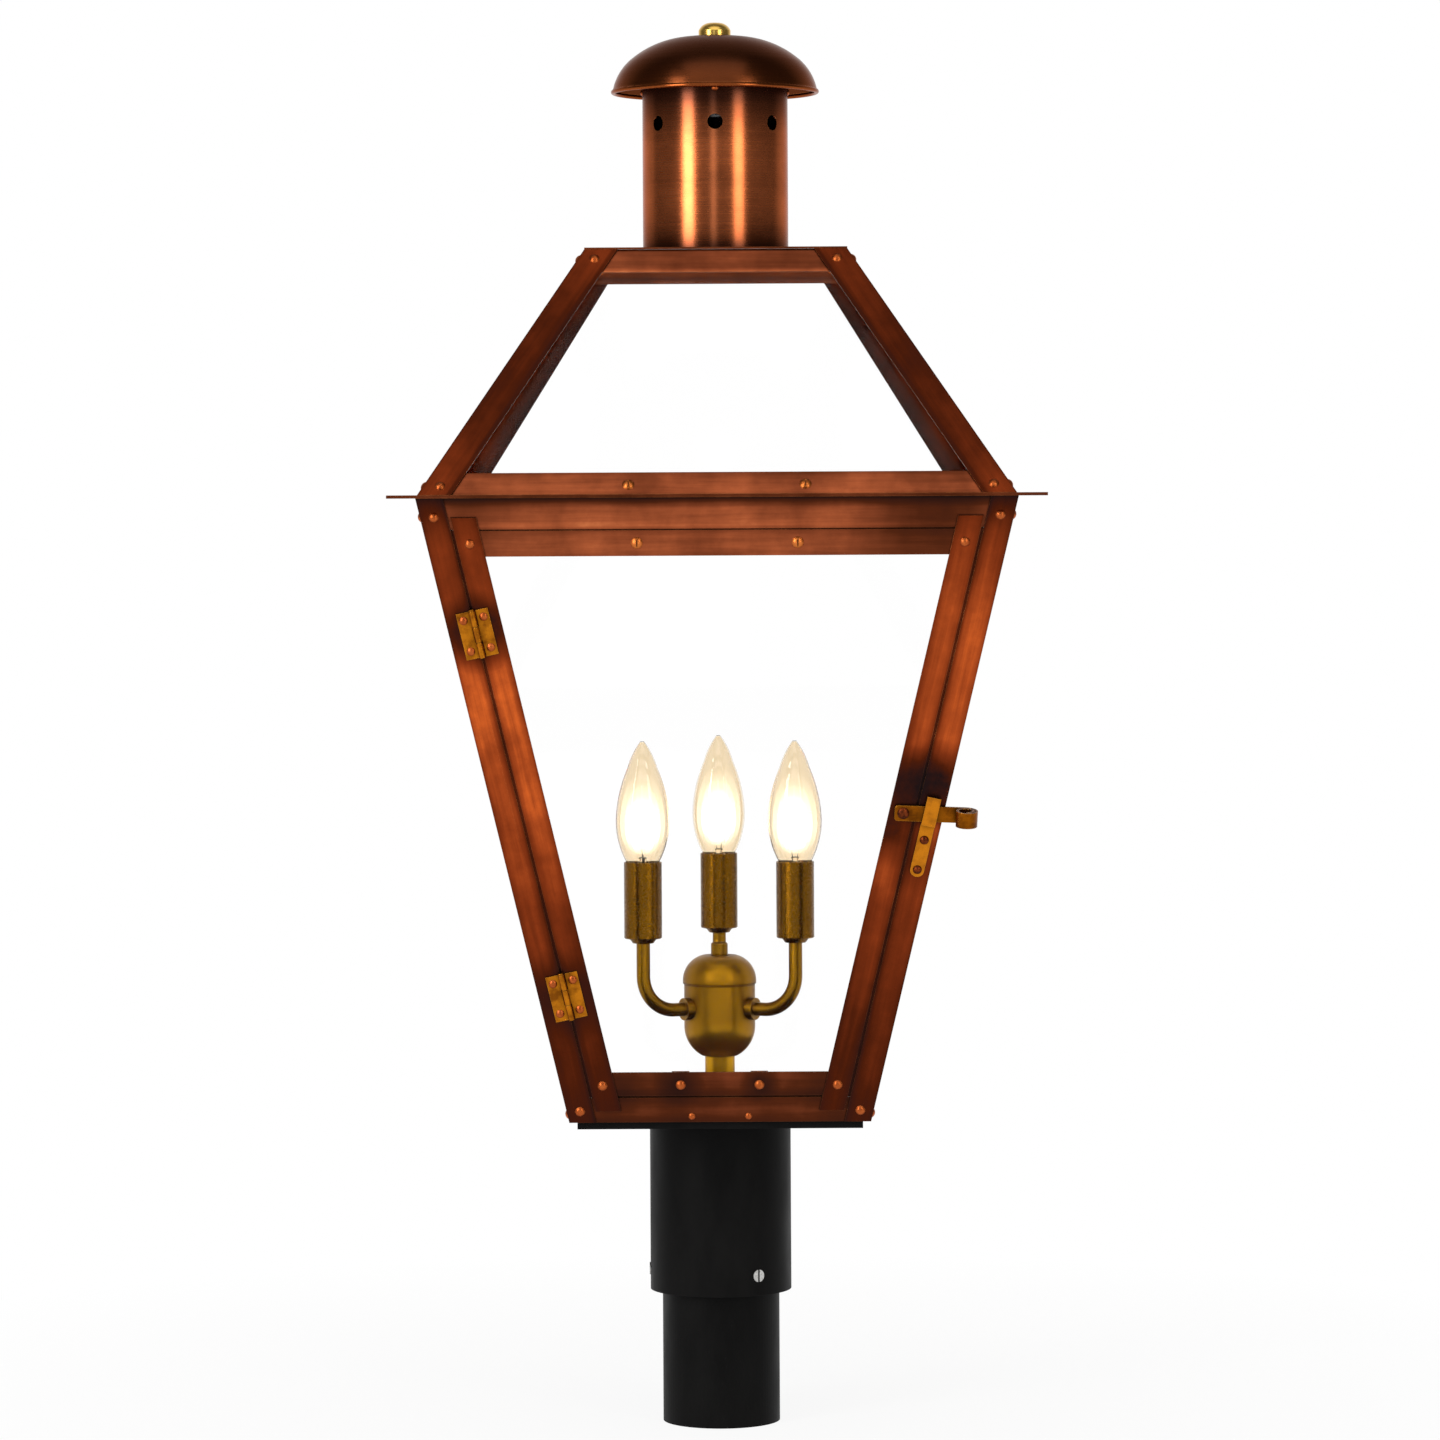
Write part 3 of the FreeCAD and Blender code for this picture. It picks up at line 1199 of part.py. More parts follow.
def make_keeper():
    """A strip down the corner post whose top end is bent out and up into a hook."""
    half = KEEPER_WIDTH / 2.0
    seat = keeper_seat()
    tongue = LATCH_STAND_OFF + LATCH_THICK + KEEPER_GAP
    low = seat - KEEPER_LENGTH
    strip = box((-half, low + half, 0), (half, seat, KEEPER_THICK))
    end = moved(rod(half, 0, KEEPER_THICK), 0, low + half)
    foot = box((-half, seat - KEEPER_THICK, 0), (half, seat, tongue + KEEPER_THICK))
    finger = box((-half, seat - KEEPER_THICK, tongue),
                 (half, LATCH_STRIP / 2.0 + KEEPER_TONGUE, tongue + KEEPER_THICK))
    keeper = fused([strip, end, foot, finger])
    for down in KEEPER_HOLES:
        keeper = keeper.cut(moved(rod(RIVET_R + HOLE_CLEARANCE, -5, 5), 0, seat - down))
    return place_keeper(keeper)


def make_keeper_rivets():
    one = rivet(RIVET_HEAD_R * 0.9, RIVET_HEAD, RIVET_R, KEEPER_THICK + FRAME_SHEET)
    return [place_keeper(moved(one, 0, keeper_seat() - down, KEEPER_THICK))
            for down in KEEPER_HOLES]


# ---- every piece
def main():
    os.makedirs("parts", exist_ok=True)
    angles = arm_angles()
    export("post_sleeve", make_sleeve())
    export("base_plate", make_base_plate())
    export("sleeve_set_screws", make_set_screws())
    export("base_screws", make_base_screws())
    export("bottom_tray", make_tray())
    for corner, name in enumerate(CORNERS):
        export("corner_post_" + name, make_post(corner))
        export("roof_hip_" + name, make_hip(corner))
    export("header_rails", [make_header(side) for side in range(4)])
    export("sill_rails", [make_sill(side) for side in range(4)])
    export("roof_lower_rails", [make_roof_rail(side) for side in range(4)])
    for side, name in enumerate(SIDES):
        if side:
            export("glass_" + name, make_side_glass(side))
        export("roof_glass_" + name, make_roof_glass(side))
    export("frame_rivets", make_frame_rivets() + make_hinge_rivets(-1))
    export("frame_glass_clips", make_frame_clips())
    export("frame_clip_screws", make_frame_screws())
    export("eave_plate", make_eave())
    export("roof_top_pan", make_top_pan())
    export("chimney_tube", make_chimney())
    export("cap_bridge", make_bridge())
    export("bridge_rivets", make_bridge_rivets())
    export("chimney_cap", make_cap())
    export("cap_bolt", make_cap_bolt())
    export("cap_spacer", make_cap_spacer())
    export("cap_nut", make_cap_nut())
    export("cluster_stem", make_stem())
    export("stem_locknut", make_locknut())
    export("cluster_cup", make_cup())
    export("cluster_cap", make_cup_cap())
    export("cluster_finial", make_finial())
    export("cluster_arms", [make_arm(angle) for angle in angles])
    export("socket_covers", [make_socket_cover(angle) for angle in angles])
    export("lamp_holders", [make_lamp_holder(angle) for angle in angles])
    export("bulb_caps", [make_bulb_cap(angle) for angle in angles])
    export("bulbs", [make_bulb(angle) for angle in angles])
    export("hinge_frame_leaves", make_leaves(-1))
    export("hinge_pins", make_pins())
    export("latch_keeper", make_keeper())
    export("keeper_rivets", make_keeper_rivets())
    export("door_stile_left", make_stile(-1))
    export("door_stile_right", make_stile(1))
    export("door_rail_top", make_door_rail(DOOR_TOP - DOOR_TOP_RAIL, DOOR_TOP))
    export("door_rail_bottom", make_door_rail(DOOR_BOTTOM, DOOR_BOTTOM + DOOR_BOTTOM_RAIL))
    export("door_glass", make_door_glass())
    export("door_glass_clips", make_door_clips())
    export("door_fasteners", make_door_fasteners() + make_hinge_rivets(1))
    export("hinge_door_leaves", make_leaves(1))
    export("latch_arm", make_latch_arm())
    export("latch_pivot", make_latch_pivot())


main()
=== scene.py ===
"""The looks of a copper post top lantern: finishes, bulb insides, studio floor, lamps and camera."""
import math

import bmesh
import bpy
from mathutils import Euler, Matrix, Vector


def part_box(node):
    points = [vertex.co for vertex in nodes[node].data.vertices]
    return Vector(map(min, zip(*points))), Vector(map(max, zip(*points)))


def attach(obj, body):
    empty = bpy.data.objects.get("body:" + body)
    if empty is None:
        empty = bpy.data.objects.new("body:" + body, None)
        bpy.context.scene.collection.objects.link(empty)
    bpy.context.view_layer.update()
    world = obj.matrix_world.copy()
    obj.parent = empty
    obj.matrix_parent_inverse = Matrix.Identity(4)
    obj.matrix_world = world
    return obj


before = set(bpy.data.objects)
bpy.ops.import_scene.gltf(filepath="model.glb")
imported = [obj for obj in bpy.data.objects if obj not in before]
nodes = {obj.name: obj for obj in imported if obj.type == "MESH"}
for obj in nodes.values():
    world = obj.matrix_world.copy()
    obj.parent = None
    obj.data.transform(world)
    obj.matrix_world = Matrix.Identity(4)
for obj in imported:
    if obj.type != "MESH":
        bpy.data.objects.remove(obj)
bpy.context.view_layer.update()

# ---- the photograph's view, in its own 1440 pixel frame
PHOTO_SIZE = 1440.0
FOCAL_PIXELS = 5400.0
EYE_LEVEL_PIXEL = 497.0
AXIS_PIXEL = 717.0
CAMERA_ROLL = 0.3
VIEW_DISTANCE = 3.5316
EYE_HEIGHT = 0.4025
SENSOR = 36.0

# ---- sizes of the lantern that the finishes follow, in metres
CAGE_FOOT, CAGE_TOP = 0.00476, 0.4025
CAGE_FOOT_HALF, CAGE_TOP_HALF = 0.096, 0.187
CAGE_LEAN = math.atan2(CAGE_TOP_HALF - CAGE_FOOT_HALF, CAGE_TOP - CAGE_FOOT)
ROOF_FOOT, ROOF_TOP = 0.4045, 0.561
ROOF_FOOT_HALF, ROOF_TOP_HALF = 0.186, 0.084
ROOF_LEAN = math.atan2(ROOF_TOP_HALF - ROOF_FOOT_HALF, ROOF_TOP - ROOF_FOOT)
# an inset is square to a leaning corner line, and this much wider when it is measured level
LEVEL_INSET = 1.025
# the rubbed screws of the door's upper rail: how far from the middle they reach, and how high they start
RAIL_SCREW_REACH = (0.10, 0.11)
RAIL_SCREW_FOOT = (0.32, 0.33)
# the chimney's inside, painted dark as shade: full this deep under its outer radius, and gone at this
# depth
INSIDE_SHADE_FULL, INSIDE_SHADE_GONE = 0.0009, 0.0006
# the seam of the lamp cluster: half of its dark line, and where the brass is clean again
SEAM_DARK, SEAM_CLEAN = 0.0004, 0.0013
# the painted glint on the belly of the lamp cluster, above the foot of its cup
BELLY_FULL, BELLY_END = 0.006, 0.024

# ---- colours, linear
# black of dark oxide, also used for painted shade where pieces meet and inside the chimney
PATINA_AND_SHADE_BLACK = (0.011, 0.0065, 0.0065)
WORN_COPPER = (0.80, 0.30, 0.10)
COPPER_TONES = ((0.0, (0.011, 0.0075, 0.0085)), (0.22, (0.075, 0.0125, 0.0035)),
                (0.5, (0.22, 0.034, 0.0075)), (0.75, (0.41, 0.069, 0.014)), (1.0, (0.70, 0.128, 0.022)))
ROSE_TONES = ((0.0, (0.012, 0.0065, 0.0065)), (0.25, (0.085, 0.019, 0.0065)),
              (0.5, (0.23, 0.053, 0.019)), (0.75, (0.41, 0.098, 0.034)), (1.0, (0.66, 0.19, 0.065)))
CHIMNEY_COPPER = (0.58, 0.148, 0.048)
CHIMNEY_DARK = (0.028, 0.011, 0.009)
CAP_COPPER = (0.36, 0.085, 0.018)
CAP_DARK = (0.040, 0.013, 0.0075)
GRAZING_COPPER = (0.72, 0.58, 0.54)
DARK_BRASS = (0.070, 0.026, 0.0015)
ORANGE_BRASS = (0.78, 0.38, 0.05)
POLISHED_BRASS = (0.92, 0.60, 0.14)
# the painted glint on the cup's lower belly
BELLY_GLINT_BRASS = (0.62, 0.30, 0.012)
RIVET_RED = (0.36, 0.072, 0.016)
RIVET_BRIGHT = (0.50, 0.125, 0.030)
RIVET_DARK = (0.040, 0.010, 0.005)
RIVET_BROWN = (0.20, 0.040, 0.010)
SCREW_RED = (0.46, 0.125, 0.025)
SCREW_ORANGE = (0.58, 0.165, 0.036)
HINGE_BRIGHT = (0.52, 0.175, 0.008)
HINGE_BROWN = (0.12, 0.028, 0.003)
KEEPER_BRIGHT = (0.60, 0.20, 0.010)
KEEPER_BROWN = (0.30, 0.10, 0.008)
LATCH_BRIGHT = (0.26, 0.075, 0.003)
LATCH_BROWN = (0.070, 0.018, 0.002)
CLUSTER_OLIVE = (0.265, 0.122, 0.0025)
ARM_OLIVE = (0.225, 0.106, 0.0028)
STEM_OLIVE = (0.62, 0.31, 0.008)
SOCKET_OLIVE = (0.135, 0.056, 0.0010)
NUT_BRASS = (0.78, 0.44, 0.09)
ENAMEL_DEEP = (0.0018, 0.0017, 0.0017)
ENAMEL_RUBBED = (0.0048, 0.0046, 0.0045)
ENAMEL_EDGE = (0.022, 0.020, 0.019)
ZINC_GREY = (0.42, 0.41, 0.39)
ZINC_WHITE = (0.72, 0.72, 0.71)
# the painted shade of the zinc where pieces meet
ZINC_CORNER_SHADE = (0.05, 0.045, 0.04)
HOLDER_DARK = (0.015, 0.014, 0.013)
HOLDER_LIGHT = (0.035, 0.033, 0.03)

# ---- nearly all of a noise's values lie between these
NOISE_LOW, NOISE_HIGH = 0.3, 0.7


# ---- small helpers for building finishes
class Wiring:
    """A node tree, and the steps that its nodes are made and joined with."""

    def __init__(self, tree):
        self.tree = tree

    def node(self, kind, **settings):
        made = self.tree.nodes.new(kind)
        for key, value in settings.items():
            setattr(made, key, value)
        return made

    def join(self, source, target):
        self.tree.links.new(source, target)

    def span(self, value, low, high, to_low=0.0, to_high=1.0):
        """A value between low and high, moved to between two others and held there."""
        made = self.node("ShaderNodeMapRange", clamp=True)
        ends = {"From Min": low, "From Max": high, "To Min": to_low, "To Max": to_high}
        for key, number in ends.items():
            made.inputs[key].default_value = number
        self.join(value, made.inputs["Value"])
        return made.outputs["Result"]

    def math(self, operation, a, b):
        made = self.node("ShaderNodeMath", operation=operation)
        for socket, value in zip(made.inputs, (a, b)):
            if isinstance(value, float):
                socket.default_value = value
            else:
                self.join(value, socket)
        return made.outputs["Value"]


class Finish(Wiring):
    """A material with one surface shader and the nodes that feed it."""

    def __init__(self, name):
        self.material = bpy.data.materials.new(name)
        self.material.use_nodes = True
        super().__init__(self.material.node_tree)
        self.surface = self.tree.nodes["Principled BSDF"]
        self.output = self.tree.nodes["Material Output"]
        self.object_place = None

    def set(self, **values):
        """Give the surface uniform values."""
        for key, value in values.items():
            socket = self.surface.inputs[key.replace("_", " ")]
            socket.default_value = value + (1.0,) if isinstance(value, tuple) else value

    def feed(self, name, source):
        """Join a value that varies to the surface."""
        self.join(source, self.surface.inputs[name])

    def place(self):
        """Object coordinates, in metres."""
        if self.object_place is None:
            self.object_place = self.node("ShaderNodeTexCoord").outputs["Object"]
        return self.object_place

    def split(self):
        """Object coordinates one by one."""
        parts = self.node("ShaderNodeSeparateXYZ")
        self.join(self.place(), parts.inputs["Vector"])
        return parts.outputs

    def height(self):
        return self.split()["Z"]

    def stretched(self, scale, turn=None):
        """Object coordinates scaled per axis, after an optional turn."""
        mapping = self.node("ShaderNodeMapping", vector_type="POINT")
        source = self.place()
        if turn is not None:
            turned = self.node("ShaderNodeVectorRotate", rotation_type="EULER_XYZ")
            turned.inputs["Rotation"].default_value = turn
            self.join(source, turned.inputs["Vector"])
            source = turned.outputs["Vector"]
        mapping.inputs["Scale"].default_value = scale
        self.join(source, mapping.inputs["Vector"])
        return mapping.outputs["Vector"]

    def noise(self, vector, scale, detail, rough):
        made = self.node("ShaderNodeTexNoise")
        made.inputs["Scale"].default_value = scale
        made.inputs["Detail"].default_value = detail
        made.inputs["Roughness"].default_value = rough
        self.join(vector, made.inputs["Vector"])
        return made.outputs["Fac"]

    def ramp(self, value, stops):
        """A ramp of (position, grey or colour) stops."""
        made = self.node("ShaderNodeValToRGB")
        ramp = made.color_ramp
        while len(ramp.elements) < len(stops):
            ramp.elements.new(0.5)
        for element, (position, colour) in zip(ramp.elements, stops):
            element.position = position
            if not isinstance(colour, tuple):
                colour = (colour, colour, colour)
            element.color = colour + (1.0,)
        self.join(value, made.inputs["Fac"])
        return made.outputs["Color"]

    def graph(self, value, stops):
        """What (position, share) stops say for a value."""
        low, high = stops[0][0], stops[-1][0]
        return self.ramp(self.span(value, low, high),
                         [((position - low) / (high - low), share) for position, share in stops])

    def spread(self, noise, to_low=0.0, to_high=1.0):
        """A noise spread out between two values."""
        return self.span(noise, NOISE_LOW, NOISE_HIGH, to_low, to_high)

    def times(self, a, b):
        return self.math("MULTIPLY", a, b)

    def blend(self, amount, first, second):
        """The first colour where amount is 0, and the second where it is 1."""
        made = self.node("ShaderNodeMix", data_type="RGBA")
        colours = [socket for socket in made.inputs if socket.type == "RGBA"]
        for socket, value in zip([made.inputs["Factor"]] + colours, (amount, first, second)):
            if isinstance(value, tuple):
                socket.default_value = value + (1.0,)
            elif isinstance(value, float):
                socket.default_value = value
            else:
                self.join(value, socket)
        return next(socket for socket in made.outputs if socket.type == "RGBA")

    def rounded(self, radius):
        """The surface's direction, with its edges rounded over."""
        made = self.node("ShaderNodeBevel", samples=4)
        made.inputs["Radius"].default_value = radius
        return made.outputs["Normal"]

    def worn_edge(self, radius):
        """1 on sharp outer edges and 0 on the flat."""
        rounded = self.rounded(radius)
        flat = self.node("ShaderNodeNewGeometry")
        same = self.node("ShaderNodeVectorMath", operation="DOT_PRODUCT")
        self.join(rounded, same.inputs[0])
        self.join(flat.outputs["Normal"], same.inputs[1])
        return self.span(same.outputs["Value"], 0.985, 0.86)

    def crevice_shade(self, distance, low=0.35, high=0.95):
        """Painted shade from ambient occlusion: 1 in the corners where pieces meet and 0 in the open."""
        shade = self.node("ShaderNodeAmbientOcclusion", samples=6)
        shade.inputs["Distance"].default_value = distance
        return self.span(shade.outputs["AO"], low, high, 1.0, 0.0)

    def halo(self, centre, near, far):
        """1 within near of a point and 0 beyond far."""
        apart = self.node("ShaderNodeVectorMath", operation="DISTANCE")
        self.join(self.place(), apart.inputs[0])
        apart.inputs[1].default_value = centre
        return self.span(apart.outputs["Value"], near, far, 1.0, 0.0)

    def inset(self, foot, foot_height, lean):
        """How far in from the nearest corner line of a leaning box a point of its wall is, in metres."""
        split = self.split()
        nearer = self.math("MINIMUM", self.math("ABSOLUTE", split["X"], 0.0),
                           self.math("ABSOLUTE", split["Y"], 0.0))
        rise = self.math("SUBTRACT", split["Z"], foot_height)
        half = self.math("ADD", self.times(rise, math.tan(lean)), foot)
        return self.math("SUBTRACT", half, nearer)

    def bump(self, height, strength, distance, radius=None):
        """Fine relief, with the edges rounded over by a radius."""
        made = self.node("ShaderNodeBump")
        made.inputs["Strength"].default_value = strength
        made.inputs["Distance"].default_value = distance
        self.join(height, made.inputs["Height"])
        if radius:
            self.join(self.rounded(radius), made.inputs["Normal"])
        self.feed("Normal", made.outputs["Normal"])

    def lay_over(self, amount, shader):
        """Lay another shader over the surface, fully where amount is 1."""
        mix = self.node("ShaderNodeMixShader")
        self.join(amount, mix.inputs["Fac"])
        self.join(self.surface.outputs["BSDF"], mix.inputs[1])
        self.join(shader, mix.inputs[2])
        self.join(mix.outputs["Shader"], self.output.inputs["Surface"])


def grain_turn(along):
    """The turn that lays the X axis of a pattern along a strip."""
    return Vector(along).normalized().rotation_difference(Vector((1, 0, 0))).to_euler()


def cover(names, finish):
    """Give one finish to several CAD pieces."""
    for name in names:
        slots = nodes[name].data.materials
        slots.clear()
        slots.append(finish.material)


# ---- copper
def aged_copper(name, along, stops, tones=COPPER_TONES, corner_shade_and_oxide=0.55, halos=(), sides=None):
    """Hand rubbed copper sheet: darkening by height that is partly the metal's own and partly painted
    shadow and painted highlights, painted shade where pieces meet, cloudy stains, fine brushing and worn
    edges.

    stops are (height in metres, share of bare copper) from low to high, halos are
    (centre, near, far, depth) of the dark stains round a fitting, and sides are the walls
    a strip lies in and its (inset, share) stops across its width, which paint shade at its edges.
    """
    finish = Finish(name)
    finish.set(Metallic=1.0)
    brushing = grain_turn(along)
    # share of bare copper by height, partly the metal's own and partly painted shadow and painted
    # highlights where the stops say so
    share = finish.graph(finish.height(), stops)
    clouds = finish.noise(finish.stretched((1.0, 1.0, 0.6)), 22.0, 3.0, 0.55)
    stains = finish.noise(finish.place(), 95.0, 5.0, 0.65)
    streaks = finish.noise(finish.stretched((0.05, 1.0, 1.0), brushing), 260.0, 3.0, 0.6)
    fine = finish.noise(finish.stretched((0.02, 1.0, 1.0), brushing), 1800.0, 2.0, 0.5)
    share = finish.times(share, finish.span(clouds, 0.34, 0.66, 0.72, 1.14))
    share = finish.times(share, finish.spread(streaks, 0.86, 1.12))
    share = finish.times(share, finish.spread(stains, 0.90, 1.08))
    # painted shade across the strip, at its edges and towards the gap beside it
    if sides:
        walls, across = sides
        share = finish.times(share, finish.graph(finish.inset(*walls), across))
    for centre, near, far, depth in halos:
        stain = finish.times(finish.halo(centre, near, far), finish.span(stains, 0.25, 0.6, 0.75, 1.0))
        share = finish.times(share, finish.math("SUBTRACT", 1.0, finish.times(stain, depth)))
    colour = finish.ramp(share, tones)
    # painted shade where pieces meet, from ambient occlusion, together with dark oxide in the joints
    dark = finish.times(finish.crevice_shade(0.006, 0.30, 0.85), corner_shade_and_oxide)
    colour = finish.blend(dark, colour, PATINA_AND_SHADE_BLACK)
    edge = finish.times(finish.worn_edge(0.0006), finish.span(stains, 0.3, 0.65, 0.10, 0.5))
    edge = finish.times(edge, finish.span(share, 0.1, 0.6, 0.25, 1.0))
    colour = finish.blend(edge, colour, WORN_COPPER)
    finish.feed("Base Color", colour)
    roughness = finish.span(share, 0.0, 1.0, 0.46, 0.32)
    finish.feed("Roughness", finish.math("ADD", roughness, finish.spread(fine, -0.05, 0.07)))
    finish.bump(fine, 0.10, 0.0002, 0.0005)
    return finish


def brushed_round(name, base, patina_and_shade, stops, rough=0.26, lines=1100.0, stain=0.3, shaded_tube_radius=None):
    """Round work brushed on a lathe: rings about the axis, dark bands by height that are partly painted
    shadow, painted shade where pieces meet, and the inside of a tube painted dark as shade.

    stops are (height in metres, share of bare copper) from low to high, and the last argument
    is the outer radius of a tube whose inside is painted dark as shade.
    """
    finish = Finish(name)
    finish.set(Metallic=1.0, Anisotropic=0.7, Anisotropic_Rotation=0.25, Specular_Tint=GRAZING_COPPER)
    # dark bands by height; on the chimney the dark top is painted shadow under the cap
    bare = finish.graph(finish.height(), stops)
    rings = finish.noise(finish.stretched((3.0, 3.0, lines)), 1.0, 3.0, 0.6)
    broad = finish.noise(finish.stretched((1.0, 1.0, 1.6)), 30.0, 4.0, 0.6)
    mottle = finish.noise(finish.place(), 160.0, 4.0, 0.6)
    share = finish.times(bare, finish.spread(broad, 1.0 - stain, 1.1))
    share = finish.times(share, finish.spread(rings, 0.95, 1.04))
    colour = finish.blend(share, patina_and_shade, base)
    # painted shade where pieces meet, from ambient occlusion
    colour = finish.blend(finish.times(finish.crevice_shade(0.010), 0.8), colour, PATINA_AND_SHADE_BLACK)
    edge = finish.times(finish.worn_edge(0.0007), 0.45)
    colour = finish.blend(edge, colour, WORN_COPPER)
    # paint the inside of the tube dark, as shade
    if shaded_tube_radius:
        from_axis = finish.node("ShaderNodeVectorMath", operation="LENGTH")
        finish.join(finish.stretched((1.0, 1.0, 0.0)), from_axis.inputs[0])
        inside = finish.span(from_axis.outputs["Value"], shaded_tube_radius - INSIDE_SHADE_FULL, shaded_tube_radius - INSIDE_SHADE_GONE,
                             1.0, 0.0)
        colour = finish.blend(inside, colour, PATINA_AND_SHADE_BLACK)
    finish.feed("Base Color", colour)
    ringed = finish.spread(rings, rough - 0.015, rough + 0.025)
    finish.feed("Roughness", finish.math("ADD", ringed, finish.spread(mottle, -0.012, 0.015)))
    tangent = finish.node("ShaderNodeTangent", direction_type="RADIAL", axis="Z")
    finish.feed("Tangent", tangent.outputs["Tangent"])
    finish.bump(rings, 0.015, 0.0002)
    return finish


def rivet_copper(name, dark, bright):
    """Copper rivets, mottled dark and bright, with painted shade round the foot."""
    finish = Finish(name)
    finish.set(Metallic=1.0)
    spots = finish.noise(finish.place(), 420.0, 4.0, 0.6)
    colour = finish.blend(finish.span(spots, 0.35, 0.65), dark, bright)
    # painted shade round the foot, from ambient occlusion
    colour = finish.blend(finish.crevice_shade(0.0030), colour, RIVET_DARK)
    finish.feed("Base Color", colour)
    finish.feed("Roughness", finish.spread(spots, 0.36, 0.46))
    finish.bump(spots, 0.05, 0.0002)
    return finish


def door_fastener_copper():
    """Door rivets of dark copper, and rubbed screws in the middle of its upper rail."""
    finish = rivet_copper("door_fastener_copper", RIVET_RED, RIVET_BRIGHT)
    split = finish.split()
    middle = finish.span(finish.math("ABSOLUTE", split["X"], 0.0), *RAIL_SCREW_REACH, 1.0, 0.0)
    upper = finish.span(split["Z"], *RAIL_SCREW_FOOT)
    copper = finish.surface.inputs["Base Color"].links[0].from_socket
    # the screws' own orange, with painted shade round their foot from ambient occlusion
    rubbed = finish.blend(finish.crevice_shade(0.0026), SCREW_ORANGE, RIVET_DARK)
    colour = finish.blend(finish.times(middle, upper), copper, rubbed)
    finish.feed("Base Color", colour)
    return finish


def aged_brass(name, bright, dark, along):
    """Antiqued brass: bright where it is handled, brown where it isn't."""
    finish = Finish(name)
    finish.set(Metallic=1.0)
    clouds = finish.noise(finish.place(), 110.0, 4.0, 0.6)
    pits = finish.noise(finish.place(), 900.0, 3.0, 0.6)
    grain = finish.noise(finish.stretched((0.04, 1.0, 1.0), grain_turn(along)), 900.0, 3.0, 0.6)
    share = finish.times(finish.span(clouds, 0.36, 0.6, 0.25, 1.0), finish.spread(grain, 0.85, 1.1))
    colour = finish.blend(share, dark, bright)
    # painted shade where pieces meet, from ambient occlusion
    colour = finish.blend(finish.crevice_shade(0.0055, 0.35, 0.98), colour, DARK_BRASS)
    edge = finish.times(finish.worn_edge(0.0005), 0.6)
    colour = finish.blend(edge, colour, ORANGE_BRASS)
    finish.feed("Base Color", colour)
    finish.feed("Roughness", finish.spread(pits, 0.25, 0.38))
    finish.bump(pits, 0.10, 0.0002, 0.0004)
    return finish


def cluster_brass(name, base, rough, seam=None, belly=None):
    """The lamp cluster's satin olive brass.

    seam is the height of a dark line round it, and belly that of the foot above which a glint is painted.
    """
    finish = Finish(name)
    finish.set(Metallic=1.0)
    clouds = finish.noise(finish.place(), 60.0, 3.0, 0.55)
    grain = finish.noise(finish.stretched((30.0, 30.0, 600.0)), 1.0, 2.0, 0.5)
    specks = finish.noise(finish.place(), 700.0, 3.0, 0.6)
    share = finish.spread(clouds, 0.72, 1.05)
    share = finish.times(share, finish.spread(grain, 0.97, 1.03))
    share = finish.times(share, finish.spread(specks, 0.92, 1.04))
    if seam:
        from_seam = finish.math("ABSOLUTE", finish.math("SUBTRACT", finish.height(), seam), 0.0)
        share = finish.times(share, finish.span(from_seam, SEAM_DARK, SEAM_CLEAN, 0.1, 1.0))
    colour = finish.blend(share, DARK_BRASS, base)
    if belly:
        # painted highlight on the lower belly of the cup
        foot = finish.span(finish.height(), belly + BELLY_FULL, belly + BELLY_END, 1.0, 0.0)
        colour = finish.blend(finish.times(foot, finish.spread(clouds, 0.45, 0.8)), colour, BELLY_GLINT_BRASS)
    # painted shade where pieces meet, from ambient occlusion
    colour = finish.blend(finish.crevice_shade(0.004, 0.25, 0.8), colour, DARK_BRASS)
    colour = finish.blend(finish.times(finish.worn_edge(0.0005), 0.4), colour, ORANGE_BRASS)
    finish.feed("Base Color", colour)
    finish.feed("Roughness", finish.spread(specks, rough - 0.04, rough + 0.05))
    finish.bump(specks, 0.04, 0.0002, 0.0004)
    return finish


def polished_brass():
    """The cap nut: buffed, with faint wipe marks."""
    finish = Finish("polished_brass")
    finish.set(Metallic=1.0)
    marks = finish.noise(finish.stretched((20.0, 20.0, 600.0)), 1.0, 3.0, 0.5)
    colour = finish.blend(finish.spread(marks), NUT_BRASS, POLISHED_BRASS)
    # painted shade where pieces meet, from ambient occlusion
    colour = finish.blend(finish.crevice_shade(0.004, 0.2, 0.7), colour, DARK_BRASS)
    finish.feed("Base Color", colour)
    finish.feed("Roughness", finish.spread(marks, 0.20, 0.30))
    finish.bump(marks, 0.03, 0.0002, 0.0006)
    return finish


def black_enamel():
    """Satin black paint with a fine orange peel and faint rub marks."""
    finish = Finish("black_enamel")
    finish.set(Specular_IOR_Level=0.08)
    peel = finish.noise(finish.place(), 900.0, 3.0, 0.5)
    rubs = finish.noise(finish.stretched((1.0, 1.0, 0.4)), 45.0, 4.0, 0.6)
    colour = finish.blend(finish.span(rubs, 0.35, 0.7), ENAMEL_DEEP, ENAMEL_RUBBED)
    edge = finish.times(finish.worn_edge(0.0006), 0.5)
    colour = finish.blend(edge, colour, ENAMEL_EDGE)
    finish.feed("Base Color", colour)
    finish.feed("Roughness", finish.spread(rubs, 0.42, 0.58))
    finish.bump(peel, 0.10, 0.0003, 0.0006)
    return finish


